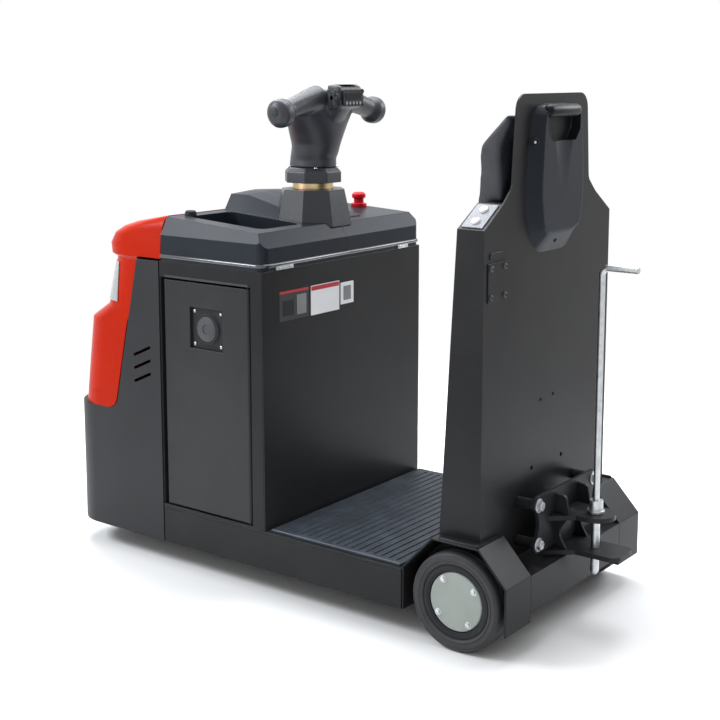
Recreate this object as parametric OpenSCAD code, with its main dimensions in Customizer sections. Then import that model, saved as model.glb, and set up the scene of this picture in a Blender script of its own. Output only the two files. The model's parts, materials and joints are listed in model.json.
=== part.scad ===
// Electric tow tractor: battery cabinet, standing platform, tall back rest and pin coupling.
// X points forward, Y to the left and Z up. The modules are drawn with the rear axle at X = 0.

/* [Overall] */
// Width across the chassis and the cabinet
body_w = 720; // [700:1:760]
// Height of the standing surface above the ground
platform_z = 184; // [178:1:196]
// Height of the chassis sides above the ground
clearance_z = 72; // [64:1:80]
// Steering axis of the drive wheel in front of the nose's rear edge
drive_in = 150; // [144:1:170]
// Thickness of bent sheet panels
sheet_t = 5; // [4:0.5:6]
// Thickness of chassis plates
plate_t = 8; // [6:1:10]
// Visible seam between body panels
seam = 4; // [3:0.5:6]
// Clearance of a piece that is fitted or seated with room
fit_gap = 0.3; // [0.2:0.05:0.5]
// Radial clearance of a shaft that turns in its bore
run_gap = 0.1; // [0.05:0.01:0.1]

/* [Wheels] */
// Diameter of the rear tyres
rear_tyre_d = 250; // [240:1:254]
// Width of the rear tyres
rear_tyre_w = 80; // [74:1:84]
// Distance of the rear wheels and fenders in from the chassis side
wheel_inset = 3; // [1:1:8]
// Diameter of the rear wheel rims
rim_d = 186; // [180:1:196]
// Diameter of the cover discs on the rear wheels
cap_d = 148; // [140:1:154]
// Diameter of the rear stub axles
axle_d = 35; // [30:1:45]
// Diameter of the drive tyre
drive_tyre_d = 230; // [220:1:240]
// Width of the drive tyre
drive_tyre_w = 75; // [70:1:80]
// Rounding of the tyre shoulders
shoulder_r = 12; // [8:1:16]

/* [Platform] */
// Rear edge of the platform in front of the rear axle
platform_x = 154; // [150:1:165]
// Length of the standing platform
platform_len = 443; // [400:1:500]
// Thickness of the rubber mat
mat_t = 6; // [5:1:8]
// Spacing of the grooves across the mat
groove_pitch = 24; // [18:1:30]

/* [Rear end] */
// Height of the flat tops of the fenders
fender_z = 275; // [270:1:285]
// Width of a fender from its outer edge to the well wall
fender_w = 119; // [112:1:124]
// Front end of the fender's flat top, and depth of the back rest's foot
fender_flat_front = 68; // [60:1:74]
// Rear end of the fender's flat top
fender_flat_rear = -67; // [-74:1:-60]
// Rear face of the vehicle behind the rear axle
rear_x = -145; // [-152:1:-141]
// Top of the rear plate and of the pocket's floor
pocket_z = 191; // [186:1:200]
// Lower edge of the rear plate between the wheels
rear_plate_z = 95; // [85:1:110]

/* [Cabinet] */
// Length of the battery cabinet
cabinet_len = 379; // [370:1:400]
// Height of the cabinet's top edge
cabinet_z = 879; // [860:1:900]
// Thickness of the door and of the side walls
wall_t = 16; // [14:1:18]
// Width of the post behind the door
post_w = 39; // [34:1:44]
// Height of the rail above the door
rail_h = 40; // [34:1:46]
// Gap round the door
door_gap = 6; // [5:0.5:8]
// Finger gap in front of the door
finger_gap = 19; // [17:1:24]
// Diameter of the door's pivot pins
pivot_d = 8; // [6:1:10]
// Length of the pivot pins inside the door
pivot_len = 14; // [10:1:20]
// Width of the charging socket's recess
socket_w = 120; // [110:1:130]
// Height of the charging socket's recess
socket_h = 114; // [104:1:124]
// Socket's centre below the door's top edge
socket_drop = 124; // [114:1:139]
// Height of the battery block
battery_h = 600; // [560:1:630]
// Space between the battery and the walls around it
battery_room = 8; // [6:1:12]

/* [Top hood] */
// Height of the deck at its front end
deck_front_z = 1000; // [994:1:1006]
// Height of the deck at its rear end
deck_rear_z = 978; // [972:1:984]
// Height of the vertical rim of the hood
rim_h = 60; // [54:1:66]
// Height of the lip at the hood's lower edge
lip_h = 10; // [8:1:14]
// Width of the slope between rim and deck
deck_slope = 28; // [22:1:34]
// Rounding of the hood's upright corners
hood_corner_r = 24; // [18:1:30]
// Depth of the storage tray
tray_depth = 52; // [40:1:60]

/* [Front] */
// Length of the nose in front of the cabinet
nose_len = 393; // [388:1:410]
// Corner radius of the lower nose
nose_r = 113; // [100:1:130]
// Height of the ledge on which the red hood stands
ledge_z = 430; // [415:1:440]
// Setback of the red hood from the front of the lower nose
hood_setback = 11; // [6:1:16]
// Slope of the red hood's rear edge, degrees from upright
edge_slope = 12.3; // [10:0.1:14]
// Wall of the moulded nose
shell_t = 5; // [4:0.5:7]

/* [Steering] */
// Steering handle's axis in front of the cabinet's rear wall
steer_in = 121; // [115:1:129]
// Height of the pedestal's top
pedestal_z = 1068; // [1062:1:1076]
// Diameter of the zinc collar
collar_d = 115; // [108:1:122]
// Height of the zinc collar
collar_h = 18; // [14:1:20]
// Diameter of the handle's stub shaft
stub_d = 50; // [44:1:56]
// Diameter of the handle's flange
flange_d = 166; // [158:1:174]
// Thickness of the handle's flange
flange_h = 42; // [38:1:46]
// Width of the crossbar over its end bulbs
bar_w = 470; // [450:1:490]
// Height of the handle's stem, from its flange to the crossbar's middle
stem_h = 193; // [185:1:201]
// Drop of the crossbar from its middle to its ends
bar_drop = 36; // [28:1:44]

/* [Back rest] */
// Rear face of the back rest, behind the rear axle
rest_x = -49; // [-54:1:-46]
// Width of the back rest's column
rest_w = 640; // [630:1:656]
// Height where the shoulders begin
shoulder_z = 1030; // [1020:1:1040]
// Height where the shoulders end
shoulder_top_z = 1085; // [1078:1:1090]
// Width between the inner ends of the shoulders
shoulder_w = 470; // [460:1:480]
// Width of the neck at its foot
neck_w = 390; // [380:1:400]
// Width of the neck at its top
neck_top_w = 354; // [344:1:364]
// Height of the neck above the shoulders
rest_neck_h = 258; // [248:1:268]
// Depth of the column at the shoulders
rest_top_depth = 75; // [68:1:82]
// Thickness of the pad over the column
pad_t = 50; // [44:1:56]
// Width of the pad
pad_w = 400; // [380:1:404]
// Lower edge of the pad
pad_z = 850; // [830:1:880]
// Spacing of the two accessory holes
hole_pitch = 154; // [140:1:168]
// Diameter of the accessory holes
hole_d = 12; // [10:1:14]
// Height of the accessory holes
hole_z = 405; // [395:1:415]

/* [Coupling] */
// Coupling pin's axis behind the rear axle
pin_x = -193; // [-198:1:-190]
// Diameter of the coupling pin
pin_d = 22; // [18:1:26]
// Radial clearance of the pin in the jaws
pin_gap = 1; // [0.5:0.1:1.5]
// Top of the upper jaw
jaw_top_z = 295; // [290:1:300]
// Height of the mouth between the jaws
mouth_h = 78; // [72:1:79]
// Thickness of the jaws
jaw_t = 12; // [10:1:14]
// Width of the jaws at the pin
jaw_w = 100; // [94:1:108]
// Width of the jaws at the flange
jaw_root_w = 210; // [190:1:230]
// Reach of the lower jaw behind the pin
lower_reach = 85; // [78:1:90]
// Distance of the coupling's flange from the back rest
stand_off = 51; // [46:1:56]
// Spacing of the flange bolts across the vehicle
bolt_pitch_y = 290; // [280:1:300]
// Spacing of the flange bolts in height
bolt_pitch_z = 100; // [94:1:106]
// Diameter of the flange bolts
bolt_d = 16; // [14:1:18]
// Diameter of the pin's lifting rod
rod_d = 16; // [14:1:18]
// Height of the lifting rod's bend
rod_z = 920; // [900:1:940]
// Reach of the rod's handle behind the pin
rod_reach = 97; // [94:1:104]

/* [Hidden] */
$fn = 64;
hw = body_w / 2;
floor_z = platform_z - mat_t;
floor_bottom_z = floor_z - plate_t;
wall_x = platform_x + platform_len;
cab_x = wall_x + cabinet_len;
nose_x = cab_x + seam;
front_x = nose_x + nose_len;
steer_x = wall_x + steer_in;
wheelbase = nose_x + drive_in;
origin_x = (front_x + pin_x - rod_reach) / 2;
side_in = hw - wall_t;
fender_y = hw - wheel_inset;
well_y = fender_y - fender_w;
wheel_y = fender_y - rear_tyre_w;
axle_z = rear_tyre_d / 2;
drive_z = drive_tyre_d / 2;

// Door, hung on pins in its rounded rear edge
pivot_r = wall_t / 2;
door_x0 = wall_x + sheet_t + post_w + door_gap;
door_x1 = cab_x - finger_gap;
pivot_x = door_x0 + pivot_r;
pivot_y = hw - pivot_r;
sill_z = platform_z;
door_z0 = sill_z + door_gap;
door_z1 = cabinet_z - rail_h - door_gap - seam;
socket_x = (door_x0 + door_x1) / 2;
socket_z = door_z1 - socket_drop;

// Hood and steering
hood_x1 = cab_x - 8;
deck_profile = [
    [wall_x, cabinet_z],
    [hood_x1, cabinet_z],
    [hood_x1, deck_front_z],
    [wall_x + deck_slope, deck_rear_z],
    [wall_x, cabinet_z + rim_h]
];
console_top_z = deck_front_z + 50;
console_y = [-140, 70];
tray_x = [wall_x + 66, hood_x1 - 36];
tray_outer_y = hw - 74;
tray_inner_y = [122, 112];
tray_r = 26;
tray_floor_z = deck_rear_z - tray_depth;
cup_d = 78;
flange_z = pedestal_z + collar_h + 1;
neck_foot_z = flange_z + flange_h;
pedestal_r = [0.687 * flange_d, 0.554 * flange_d];
bar_z = neck_foot_z + stem_h;
bar_x = steer_x - 58;
head_x = steer_x - 91;
head_z = bar_z - 28;
bar_seat_y = 52;

// Red hood, from foot to top: height, setback from its foot, inset from the side and fall to the front
hood_foot_x = front_x - hood_setback;
hood_r = 124;
hood_top_z = deck_front_z;
hood_sections = [
    [ledge_z, 0, 0, 0],
    [ledge_z + 256, 36, 1, 0],
    [ledge_z + 298, 97, 9, 0],
    [ledge_z + 442, 136, 11, 0],
    [ledge_z + 452, 119, 5, 0],
    [ledge_z + 480, 117, 4, 0],
    [ledge_z + 510, 134, 6, 0],
    [ledge_z + 536, 164, 12, 0.04],
    [ledge_z + 558, 208, 22, 0.1],
    [hood_top_z, 268, 40, 0.17]
];
edge_x = nose_x + 184;
edge_top_x = edge_x - (cabinet_z - ledge_z) * tan(edge_slope);
lamp_rows = [hood_sections[2], hood_sections[3]];

// Back rest: the front line runs from the foot to the shoulders
rest_hw = rest_w / 2;
rest_in_x = rest_x + sheet_t;
neck_z = shoulder_top_z + rest_neck_h;
pad_break_z = shoulder_top_z + 0.53 * rest_neck_h;
rest_top_x = rest_x + rest_top_depth;
rest_lean = (fender_flat_front - rest_top_x) / (shoulder_z - fender_z);
portal = [
    [rest_hw, fender_z],
    [rest_hw, shoulder_z],
    [shoulder_w / 2, shoulder_top_z],
    [-shoulder_w / 2, shoulder_top_z],
    [-rest_hw, shoulder_z],
    [-rest_hw, fender_z]
];
shoulder_tilt = atan2(shoulder_top_z - shoulder_z, rest_hw - shoulder_w / 2);
shoulder_mid = [(rest_hw + shoulder_w / 2) / 2, (shoulder_z + shoulder_top_z) / 2];
pad_gap = 30;

// Coupling
flange_x = rest_x - stand_off;
flange_t = 10;
jaw_low_z = jaw_top_z - jaw_t - mouth_h;
bolt_z = jaw_low_z + mouth_h + 2;
washer_h = 34;
pin_low_z = jaw_low_z - 71;

// Drive unit
drive_plate_z = 340;
spigot_d = 150;
motor_d = 150;
motor_h = 190;
cheek_y = drive_tyre_w / 2 + 7;
drive_axle_d = 40;

// Outline functions
function unit(v) = v / norm(v);
function left_of(a, b) = unit([a[1] - b[1], b[0] - a[0]]);
function mitre(a, b, c, t) =
    let (m = left_of(a, b), n = left_of(b, c))
    b + t * (m + n) / (1 + m * n);
// A bent sheet: the path and the same path shifted to its left by the thickness
function shifted(p, t) = [
    for (i = [0 : len(p) - 1])
        i == 0 ? p[0] + t * left_of(p[0], p[1])
        : i == len(p) - 1 ? p[i] + t * left_of(p[i - 1], p[i])
        : mitre(p[i - 1], p[i], p[i + 1], t)
];
function bent(p, t) =
    let (q = shifted(p, t))
    concat(p, [for (i = [len(q) - 1 : -1 : 0]) q[i]]);
// An outline whose points are [x, y, corner radius]
function corner(a, b, c, r, n) =
    let (u = unit(a - b), v = unit(c - b), h = acos(u * v) / 2)
    let (m = b + unit(u + v) * r / sin(h), w = 180 - 2 * h)
    let (s = (b + u * r / tan(h) - m), e = (b + v * r / tan(h) - m))
    [for (k = [0 : n]) m + (sin((1 - k / n) * w) * s + sin(k / n * w) * e) / sin(w)];
function flat(p) = [p[0], p[1]];
function rounded(p, n = 6) = [
    for (i = [0 : len(p) - 1])
        let (a = flat(p[(i + len(p) - 1) % len(p)]), b = flat(p[i]), c = flat(p[(i + 1) % len(p)]))
        each p[i][2] > 0 ? corner(a, b, c, p[i][2], n) : [b]
];
function mirrored(p) = concat(p, [for (i = [len(p) - 1 : -1 : 0]) [-p[i][0], p[i][1], p[i][2]]]);
function rest_front(z) = fender_flat_front - (z - fender_z) * rest_lean;

// Extrusions along the three axes
module slab(lo, hi) {
    translate(lo) cube(hi - lo);
}
module across(y0, y1) {
    translate([0, y1, 0]) rotate([90, 0, 0]) linear_extrude(y1 - y0) children();
}
module along(x0, x1) {
    translate([x0, 0, 0]) rotate([90, 0, 90]) linear_extrude(x1 - x0) children();
}
module upward(z0, z1) {
    translate([0, 0, z0]) linear_extrude(z1 - z0) children();
}
module spun(x, y, z) {
    translate([x, y, z]) rotate([-90, 0, 0]) rotate_extrude() children();
}
module right_hand() {
    mirror([0, 1, 0]) children();
}
module both_hands() {
    children();
    right_hand() children();
}

// Chassis
module floor_plate() {
    color("#2b2d31") slab([platform_x, -hw, floor_bottom_z], [cab_x, hw, floor_z]);
}
module side_rail_left() {
    color("#26282c") slab([platform_x, hw - plate_t, clearance_z], [cab_x, hw, floor_bottom_z]);
}
module side_rail_right() {
    right_hand() side_rail_left();
}
module cross_plates() {
    rows = [platform_x, wall_x, cab_x - plate_t];
    color("#26282c") for (x = rows)
        slab([x, plate_t - hw, clearance_z + 12], [x + plate_t, hw - plate_t, floor_bottom_z]);
}
module platform_mat() {
    edge = 10;
    depth = mat_t / 2;
    x0 = platform_x + edge;
    x1 = wall_x - edge;
    grooves = floor((x1 - x0 - 2 * edge) / groove_pitch);
    color("#4a545e") difference() {
        slab([x0, edge - hw, floor_z], [x1, hw - edge, platform_z]);
        for (i = [1 : grooves])
            translate([x0 + edge + (i - 0.5) * groove_pitch, 0, platform_z])
                cube([groove_pitch / 3, body_w - 6 * edge, 2 * depth], center = true);
    }
}

// Wheel wells and the kick plate between them
fender_path = [
    [platform_x, clearance_z],
    [platform_x, platform_z],
    [fender_flat_front, fender_z],
    [fender_flat_rear, fender_z],
    [rear_x, pocket_z],
    [rear_x, clearance_z]
];
module fender_left() {
    color("#222428") {
        across(well_y, fender_y) polygon(bent(fender_path, sheet_t));
        across(well_y, well_y + plate_t) polygon(fender_path);
    }
}
module fender_right() {
    right_hand() fender_left();
}
module kick_plate() {
    path = [
        [platform_x, clearance_z + 12],
        [platform_x, platform_z],
        [fender_flat_front, fender_z],
        [rest_in_x, fender_z]
    ];
    color("#222428") across(-well_y, well_y) polygon(bent(path, sheet_t));
}
module rear_plate() {
    path = [[rest_x, pocket_z], [rear_x, pocket_z], [rear_x, rear_plate_z]];
    color("#222428") across(-well_y, well_y) polygon(bent(path, sheet_t));
}
module stub_axles() {
    inner = well_y + plate_t;
    shoulder = wheel_y + 4 - fit_gap;
    profile = [
        [0, inner], [52, inner], [52, inner + 8], [30, inner + 8],
        [30, shoulder], [axle_d / 2, shoulder], [axle_d / 2, wheel_y + 54], [0, wheel_y + 54]
    ];
    color("#8a8d92") both_hands() spun(0, 0, axle_z) polygon(profile);
}

// Battery cabinet
module cabinet_wall() {
    color("#1d1f22") slab([wall_x, -hw, floor_z], [wall_x + sheet_t, hw, cabinet_z]);
}
module cabinet_left() {
    post_x = wall_x + sheet_t;
    color("#1d1f22") {
        slab([post_x, side_in, floor_z], [post_x + post_w, hw, cabinet_z]);
        slab([post_x, side_in, door_z1 + door_gap], [cab_x, hw, cabinet_z]);
        slab([post_x, side_in, floor_z], [cab_x, hw, sill_z]);
        translate([pivot_x, pivot_y, sill_z]) cylinder(d = pivot_d, h = door_gap + pivot_len);
        translate([pivot_x, pivot_y, door_z1 - pivot_len]) cylinder(d = pivot_d, h = door_gap + pivot_len);
    }
}
module cabinet_right() {
    groove = 5;
    lo = [door_x0, door_z0];
    hi = [door_x1, door_z1];
    color("#1d1f22") difference() {
        slab([wall_x + sheet_t, -hw, floor_z], [cab_x, -side_in, cabinet_z]);
        across(-hw - 1, groove - hw) difference() {
            translate(lo) square(hi - lo);
            translate(lo + [groove, groove]) square(hi - lo - 2 * [groove, groove]);
        }
    }
}
module bulkhead() {
    color("#1d1f22") slab([cab_x - sheet_t, -side_in, floor_z], [cab_x, side_in, cabinet_z]);
}
module battery() {
    lo = [wall_x + sheet_t + battery_room, battery_room - side_in, floor_z];
    hi = [cab_x - sheet_t - battery_room, side_in - battery_room, floor_z + battery_h];
    color("#5b6067") slab(lo, hi);
}
module battery_door() {
    bore_d = pivot_d + 2 * run_gap;
    bore_len = pivot_len + 1;
    color("#202226") difference() {
        upward(door_z0, door_z1) {
            translate([pivot_x, pivot_y]) circle(d = wall_t);
            translate([pivot_x, side_in]) square([door_x1 - pivot_x, wall_t]);
        }
        for (z = [door_z0, door_z1 - bore_len])
            translate([pivot_x, pivot_y, z]) cylinder(d = bore_d, h = bore_len);
        across(side_in - 1, hw + 1) translate([socket_x, socket_z])
            square([socket_w, socket_h], center = true);
    }
}
module charge_socket() {
    plate = wall_t / 2;
    color("#3a3d42") {
        across(side_in, side_in + plate) translate([socket_x, socket_z])
            square([socket_w, socket_h], center = true);
        across(side_in, hw - 3) translate([socket_x, socket_z]) difference() {
            circle(d = 84);
            circle(d = 62);
        }
        across(side_in, hw - 5) translate([socket_x, socket_z]) circle(d = 30);
    }
}

// Top hood in two halves, each a moulded cover with a sloped deck
module hood_body() {
    intersection() {
        across(-hw, hw) polygon(deck_profile);
        along(wall_x, hood_x1) polygon(rounded(mirrored([
            [hw, cabinet_z, 0],
            [hw, cabinet_z + rim_h + 12, 0],
            [hw - deck_slope, deck_front_z, 0]
        ])));
        upward(cabinet_z, console_top_z) polygon(rounded([
            [wall_x, -hw, hood_corner_r], [hood_x1, -hw, 0], [hood_x1, hw, 0], [wall_x, hw, hood_corner_r]
        ]));
    }
    console();
}
module console() {
    low = deck_rear_z - 20;
    y0 = console_y[0];
    y1 = console_y[1];
    top = console_top_z - 6;
    hull() {
        along(hood_x1 - 70, hood_x1) polygon([
            [y0 - 50, low], [y1 + 46, low], [y1 + 34, deck_front_z - 8],
            [y1, top], [(y0 + y1) / 2, console_top_z], [y0, top], [y0 - 36, deck_front_z]
        ]);
        along(wall_x + 60, wall_x + 61) polygon([
            [y0 - 20, low], [y1 + 10, low], [y1, deck_rear_z + 6], [y0, deck_rear_z + 6]
        ]);
    }
}
module lip_groove() {
    depth = 3;
    upward(cabinet_z + lip_h, cabinet_z + lip_h + 4) difference() {
        translate([wall_x - 1, -hw - 1]) square([hood_x1 - wall_x + 2, body_w + 2]);
        translate([wall_x + depth, depth - hw]) square([hood_x1 - wall_x, body_w - 2 * depth]);
    }
}
module top_hood_left() {
    x0 = tray_x[0];
    x1 = tray_x[1];
    cup_y = (tray_inner_y[1] + tray_outer_y) / 2 - 6;
    tray = [
        [x0, tray_inner_y[0], tray_r], [x1, tray_inner_y[1], tray_r],
        [x1, tray_outer_y, tray_r], [x0, tray_outer_y, tray_r]
    ];
    color("#33373d") difference() {
        hood_body();
        slab([wall_x - 1, -hw - 1, cabinet_z - 1], [hood_x1 + 1, 0, console_top_z + 1]);
        lip_groove();
        upward(tray_floor_z, console_top_z) polygon(rounded(tray));
        translate([x1 - cup_d * 0.75, cup_y, cabinet_z + lip_h]) cylinder(d = cup_d, h = tray_depth);
    }
}
module top_hood_right() {
    color("#33373d") difference() {
        hood_body();
        slab([wall_x - 1, 0, cabinet_z - 1], [hood_x1 + 1, hw + 1, console_top_z + 1]);
        lip_groove();
    }
}
module emergency_stop() {
    x = steer_x + 66;
    y = 56 - hw;
    z = deck_front_z - 34;
    profile = [
        [0, z], [24, z], [24, z + 32], [15, z + 34], [15, z + 46],
        [21, z + 50], [21, z + 60], [14, z + 66], [0, z + 67]
    ];
    color("#c8202a") difference() {
        translate([x, y, 0]) rotate_extrude() polygon(profile);
        across(-hw, hw) polygon(deck_profile);
    }
}

// Nose: dark lower shell with vents, and the red hood that stands on its ledge
module nose_plan(x1, r, inset, x0 = nose_x) {
    y = hw - inset;
    translate([x0, -y]) square([x1 - r - x0, 2 * y]);
    translate([x0, r - hw]) square([x1 - inset - x0, 2 * (hw - r)]);
    for (s = [-1, 1]) translate([x1 - r, s * (hw - r)]) circle(r - inset);
}
skirt_side = rounded([
    [nose_x, clearance_z - 2, 0],
    [front_x, clearance_z - 2, 0],
    [front_x, ledge_z, 0],
    [edge_x, ledge_z, 40],
    [edge_top_x, cabinet_z - 2, 8],
    [nose_x, cabinet_z - 2, 0]
]);
vent_pitch = 38;
vent_size = [72, 8];
module front_skirt() {
    lip = 30;
    flange = 44;
    color("#2a2c30") difference() {
        union() {
            intersection() {
                across(-hw, hw) polygon(skirt_side);
                upward(0, cabinet_z) difference() {
                    nose_plan(front_x, nose_r, 0);
                    nose_plan(front_x, nose_r, shell_t, nose_x - 1);
                }
            }
            upward(ledge_z - shell_t, ledge_z) difference() {
                nose_plan(front_x, nose_r, 1, edge_x + 40);
                nose_plan(front_x, nose_r, flange, edge_x + 39);
            }
            both_hands() slab([cab_x, hw - lip, clearance_z + 18], [nose_x + 1, hw - shell_t, cabinet_z - 9]);
            both_hands()
                slab([nose_x, hw - lip, clearance_z + 18], [nose_x + shell_t, hw - 1, cabinet_z - 9]);
        }
        for (i = [0 : 2])
            across(-hw - 1, hw + 1)
                translate([nose_x + 72, 0.685 * cabinet_z + 12 - vent_pitch * i])
                    rotate(-24) square(vent_size, center = true);
    }
}
module hood_section(row, grow) {
    x1 = hood_foot_x - row[1] + grow;
    y = hw - row[2] + grow;
    r = hood_r + grow;
    fall = [[1, 0, 0, 0], [0, 1, 0, 0], [-row[3], 0, 1, row[0] + row[3] * nose_x], [0, 0, 0, 1]];
    multmatrix(fall) linear_extrude(0.01) {
        translate([nose_x - seam - 2, -y]) square([x1 - r - nose_x + seam + 2, 2 * y]);
        translate([nose_x - seam - 2, r - y]) square([x1 - nose_x + seam + 2, 2 * (y - r)]);
        for (s = [-1, 1]) translate([x1 - r, s * (y - r)]) circle(r, $fn = 32);
    }
}
module hood_stack(rows, grow) {
    for (i = [0 : len(rows) - 2]) hull() {
        hood_section(rows[i], grow);
        hood_section(rows[i + 1], grow);
    }
}
hood_side = rounded([
    [edge_x + seam, ledge_z, 40],
    [front_x, ledge_z, 0],
    [front_x, hood_top_z + 1, 0],
    [nose_x - seam - 2, hood_top_z + 1, 0],
    [nose_x - seam - 2, cabinet_z + seam, 0],
    [edge_top_x + seam, cabinet_z + seam, 8]
]);
module front_hood() {
    last = len(hood_sections) - 1;
    inner = [for (i = [0 : last]) hood_sections[i] + [i == last ? -shell_t : i == 0 ? -1 : 0, 0, 0, 0]];
    color("#d23a1e") intersection() {
        across(-hw, hw) polygon(hood_side);
        difference() {
            hood_stack(hood_sections, 0);
            hood_stack(inner, -shell_t);
        }
    }
}
module head_lamp() {
    z0 = lamp_rows[0][0] + 16;
    z1 = lamp_rows[1][0] - 14;
    x0 = hood_foot_x - lamp_rows[1][1] - 70;
    color("#9aa0a6") intersection() {
        slab([x0, -hw, z0], [front_x, hw, z1]);
        difference() {
            hood_stack(lamp_rows, 3);
            hood_stack(lamp_rows, 0);
        }
    }
}

// Steering column and handle
module steering_pedestal() {
    color("#2a2d32") difference() {
        translate([steer_x, 0, deck_rear_z - 10]) rotate(22.5)
            cylinder(r1 = pedestal_r[0], r2 = pedestal_r[1], h = pedestal_z - deck_rear_z + 10, $fn = 8);
        across(-hw, hw) polygon(deck_profile);
        console();
    }
}
module steering_collar() {
    color("#c9a545") translate([steer_x, 0, pedestal_z]) difference() {
        cylinder(d = collar_d, h = collar_h);
        translate([0, 0, 1]) cylinder(d = stub_d + 2 * run_gap, h = collar_h);
    }
}
module handle_base() {
    r = flange_d / 2;
    chamfer = 12;
    color("#25272b") {
        translate([steer_x, 0, flange_z]) rotate(22.5) {
            cylinder(r = r, h = flange_h - chamfer, $fn = 8);
            translate([0, 0, flange_h - chamfer]) cylinder(r1 = r, r2 = r - chamfer, h = chamfer, $fn = 8);
        }
        translate([steer_x, 0, pedestal_z + 1 + fit_gap]) cylinder(d = stub_d, h = collar_h);
    }
}
// Stem stations: share of its height, shift, half depth and half width
neck_stations = [
    [0, 0, 70, 62], [0.3, -3, 66, 56], [0.6, -15, 70, 57],
    [0.84, -38, 83, 62], [1.12, -40, 60, 58]
];
module handle_neck() {
    color("#2b2d31") difference() {
        for (i = [0 : len(neck_stations) - 2])
            hull() for (s = [neck_stations[i], neck_stations[i + 1]])
                translate([steer_x + s[1], 0, neck_foot_z + s[0] * stem_h])
                    scale([s[2], s[3], 1]) cylinder(r = 1, h = 0.01, $fn = 32);
        slab([head_x - flange_d, -hw, head_z], [head_x, hw, bar_z + 60]);
        both_hands() slab([steer_x - flange_d, bar_seat_y, bar_z - 60], [steer_x + flange_d, hw, bar_z + 60]);
    }
}
// Crossbar stations: share of half width, share of drop, radius
bar_stations = [[0.235, 0.02, 37], [0.52, 0.4, 30], [0.78, 0.86, 27]];
module handle_bar() {
    half = bar_w / 2;
    bulb_r = 39;
    bulb = rounded([[0, 0, 0], [26, 0, 6], [bulb_r, 18, 10], [bulb_r, 44, 12], [22, 56, 10], [0, 56, 0]]);
    tilt = atan2(bar_drop, half);
    color("#1f2125") both_hands() {
        difference() {
            for (i = [0 : len(bar_stations) - 2]) hull() for (s = [bar_stations[i], bar_stations[i + 1]])
                translate([bar_x, s[0] * half, bar_z - s[1] * bar_drop]) sphere(s[2], $fn = 24);
            slab([bar_x - 50, -1, bar_z - 50], [bar_x + 50, bar_seat_y, bar_z + 50]);
        }
        translate([bar_x, half - 58, bar_z - 0.9 * bar_drop]) rotate([-90 - tilt, 0, 0])
            rotate_extrude() polygon(bulb);
    }
}
module handle_head() {
    x0 = steer_x - 143;
    color("#3a3e44") across(-50, 50) polygon(rounded([
        [x0 + 4, head_z + 6, 6], [head_x - 30, head_z, 0], [head_x, head_z, 0],
        [head_x, bar_z + 38, 4], [x0 + 8, bar_z + 36, 12]
    ]));
}

// Back rest: a bent sheet column with shoulders and a narrower neck
module backrest_shell() {
    neck = neck_w / 2;
    plate = mirrored([
        [well_y - 2, pocket_z - sheet_t, 0], [well_y - 2, fender_z, 0], [rest_hw, fender_z, 0],
        [rest_hw, shoulder_z, 0], [shoulder_w / 2, shoulder_top_z, 30],
        [neck, shoulder_top_z + 36, 30], [neck_top_w / 2, neck_z, 40]
    ]);
    side = [
        [rest_x, fender_z], [fender_flat_front, fender_z],
        [rest_front(shoulder_top_z), shoulder_top_z], [rest_x, shoulder_top_z]
    ];
    color("#1b1d20") difference() {
        union() {
            along(rest_x, rest_in_x) polygon(rounded(plate));
            intersection() {
                along(rest_x, fender_flat_front) polygon(bent(portal, sheet_t));
                across(-hw, hw) polygon(side);
            }
        }
        for (s = [-1, 1]) translate([rest_x - 1, s * hole_pitch / 2, hole_z])
            rotate([0, 90, 0]) cylinder(d = hole_d, h = sheet_t + 2);
    }
}
module backrest_front() {
    slope = [[fender_flat_front, fender_z], [rest_front(shoulder_top_z), shoulder_top_z]];
    color("#1b1d20") intersection() {
        across(-hw, hw) polygon(bent(slope, sheet_t));
        along(rest_in_x, fender_flat_front) polygon(shifted(portal, sheet_t));
    }
}
module backrest_pad() {
    top_z = neck_z - 34;
    break_z = pad_break_z;
    back_x = rest_in_x + pad_gap;
    outline = rounded([
        [rest_front(pad_z) + fit_gap, pad_z, 0],
        [rest_front(pad_z) + pad_t, pad_z, 14],
        [rest_front(break_z) + pad_t - 22, break_z, 20],
        [rest_in_x + fit_gap, top_z, 6],
        [rest_in_x + fit_gap, top_z - 30, 0],
        [back_x, break_z, 0],
        [back_x, shoulder_top_z + fit_gap, 0],
        [rest_front(shoulder_top_z) + fit_gap, shoulder_top_z + fit_gap, 0]
    ]);
    color("#26282c") across(-pad_w / 2, pad_w / 2) polygon(outline);
}
module pad_spacer() {
    color("#111214") slab(
        [rest_in_x, -0.35 * pad_w, shoulder_top_z],
        [rest_in_x + pad_gap - fit_gap, 0.35 * pad_w, pad_break_z - 11]
    );
}
tray_cover_depth = 31;
module rear_tray() {
    foot = mirrored([
        [77, neck_z - 391, 0], [119, neck_z - 331, 0], [140, neck_z - 240, 0], [107, neck_z - 24, 0]
    ]);
    face = mirrored([
        [62, neck_z - 338, 0], [92, neck_z - 326, 0], [108, neck_z - 240, 0], [92, neck_z - 28, 0]
    ]);
    face_x = rest_x - tray_cover_depth;
    color("#24262a") difference() {
        hull() {
            along(rest_x - 0.01, rest_x) polygon(rounded(foot));
            along(face_x, face_x + 6) polygon(rounded(face));
        }
        slab([face_x - 1, -84, neck_z - 122], [face_x + 20, 84, neck_z - 56]);
        translate([face_x - 22, 0, neck_z - 240]) cylinder(r1 = 23, r2 = 36, h = 130);
    }
}
module on_shoulder() {
    x = (rest_x + rest_front(shoulder_mid[1])) / 2 + 1;
    translate([x, shoulder_mid[0], shoulder_mid[1]]) rotate([-shoulder_tilt, 0, 0]) children();
}
jog_plate = [58, 88, 3];
module jog_panel() {
    color("#b9bdc1") on_shoulder() translate([0, 0, jog_plate[2] / 2]) cube(jog_plate, center = true);
}
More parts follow.
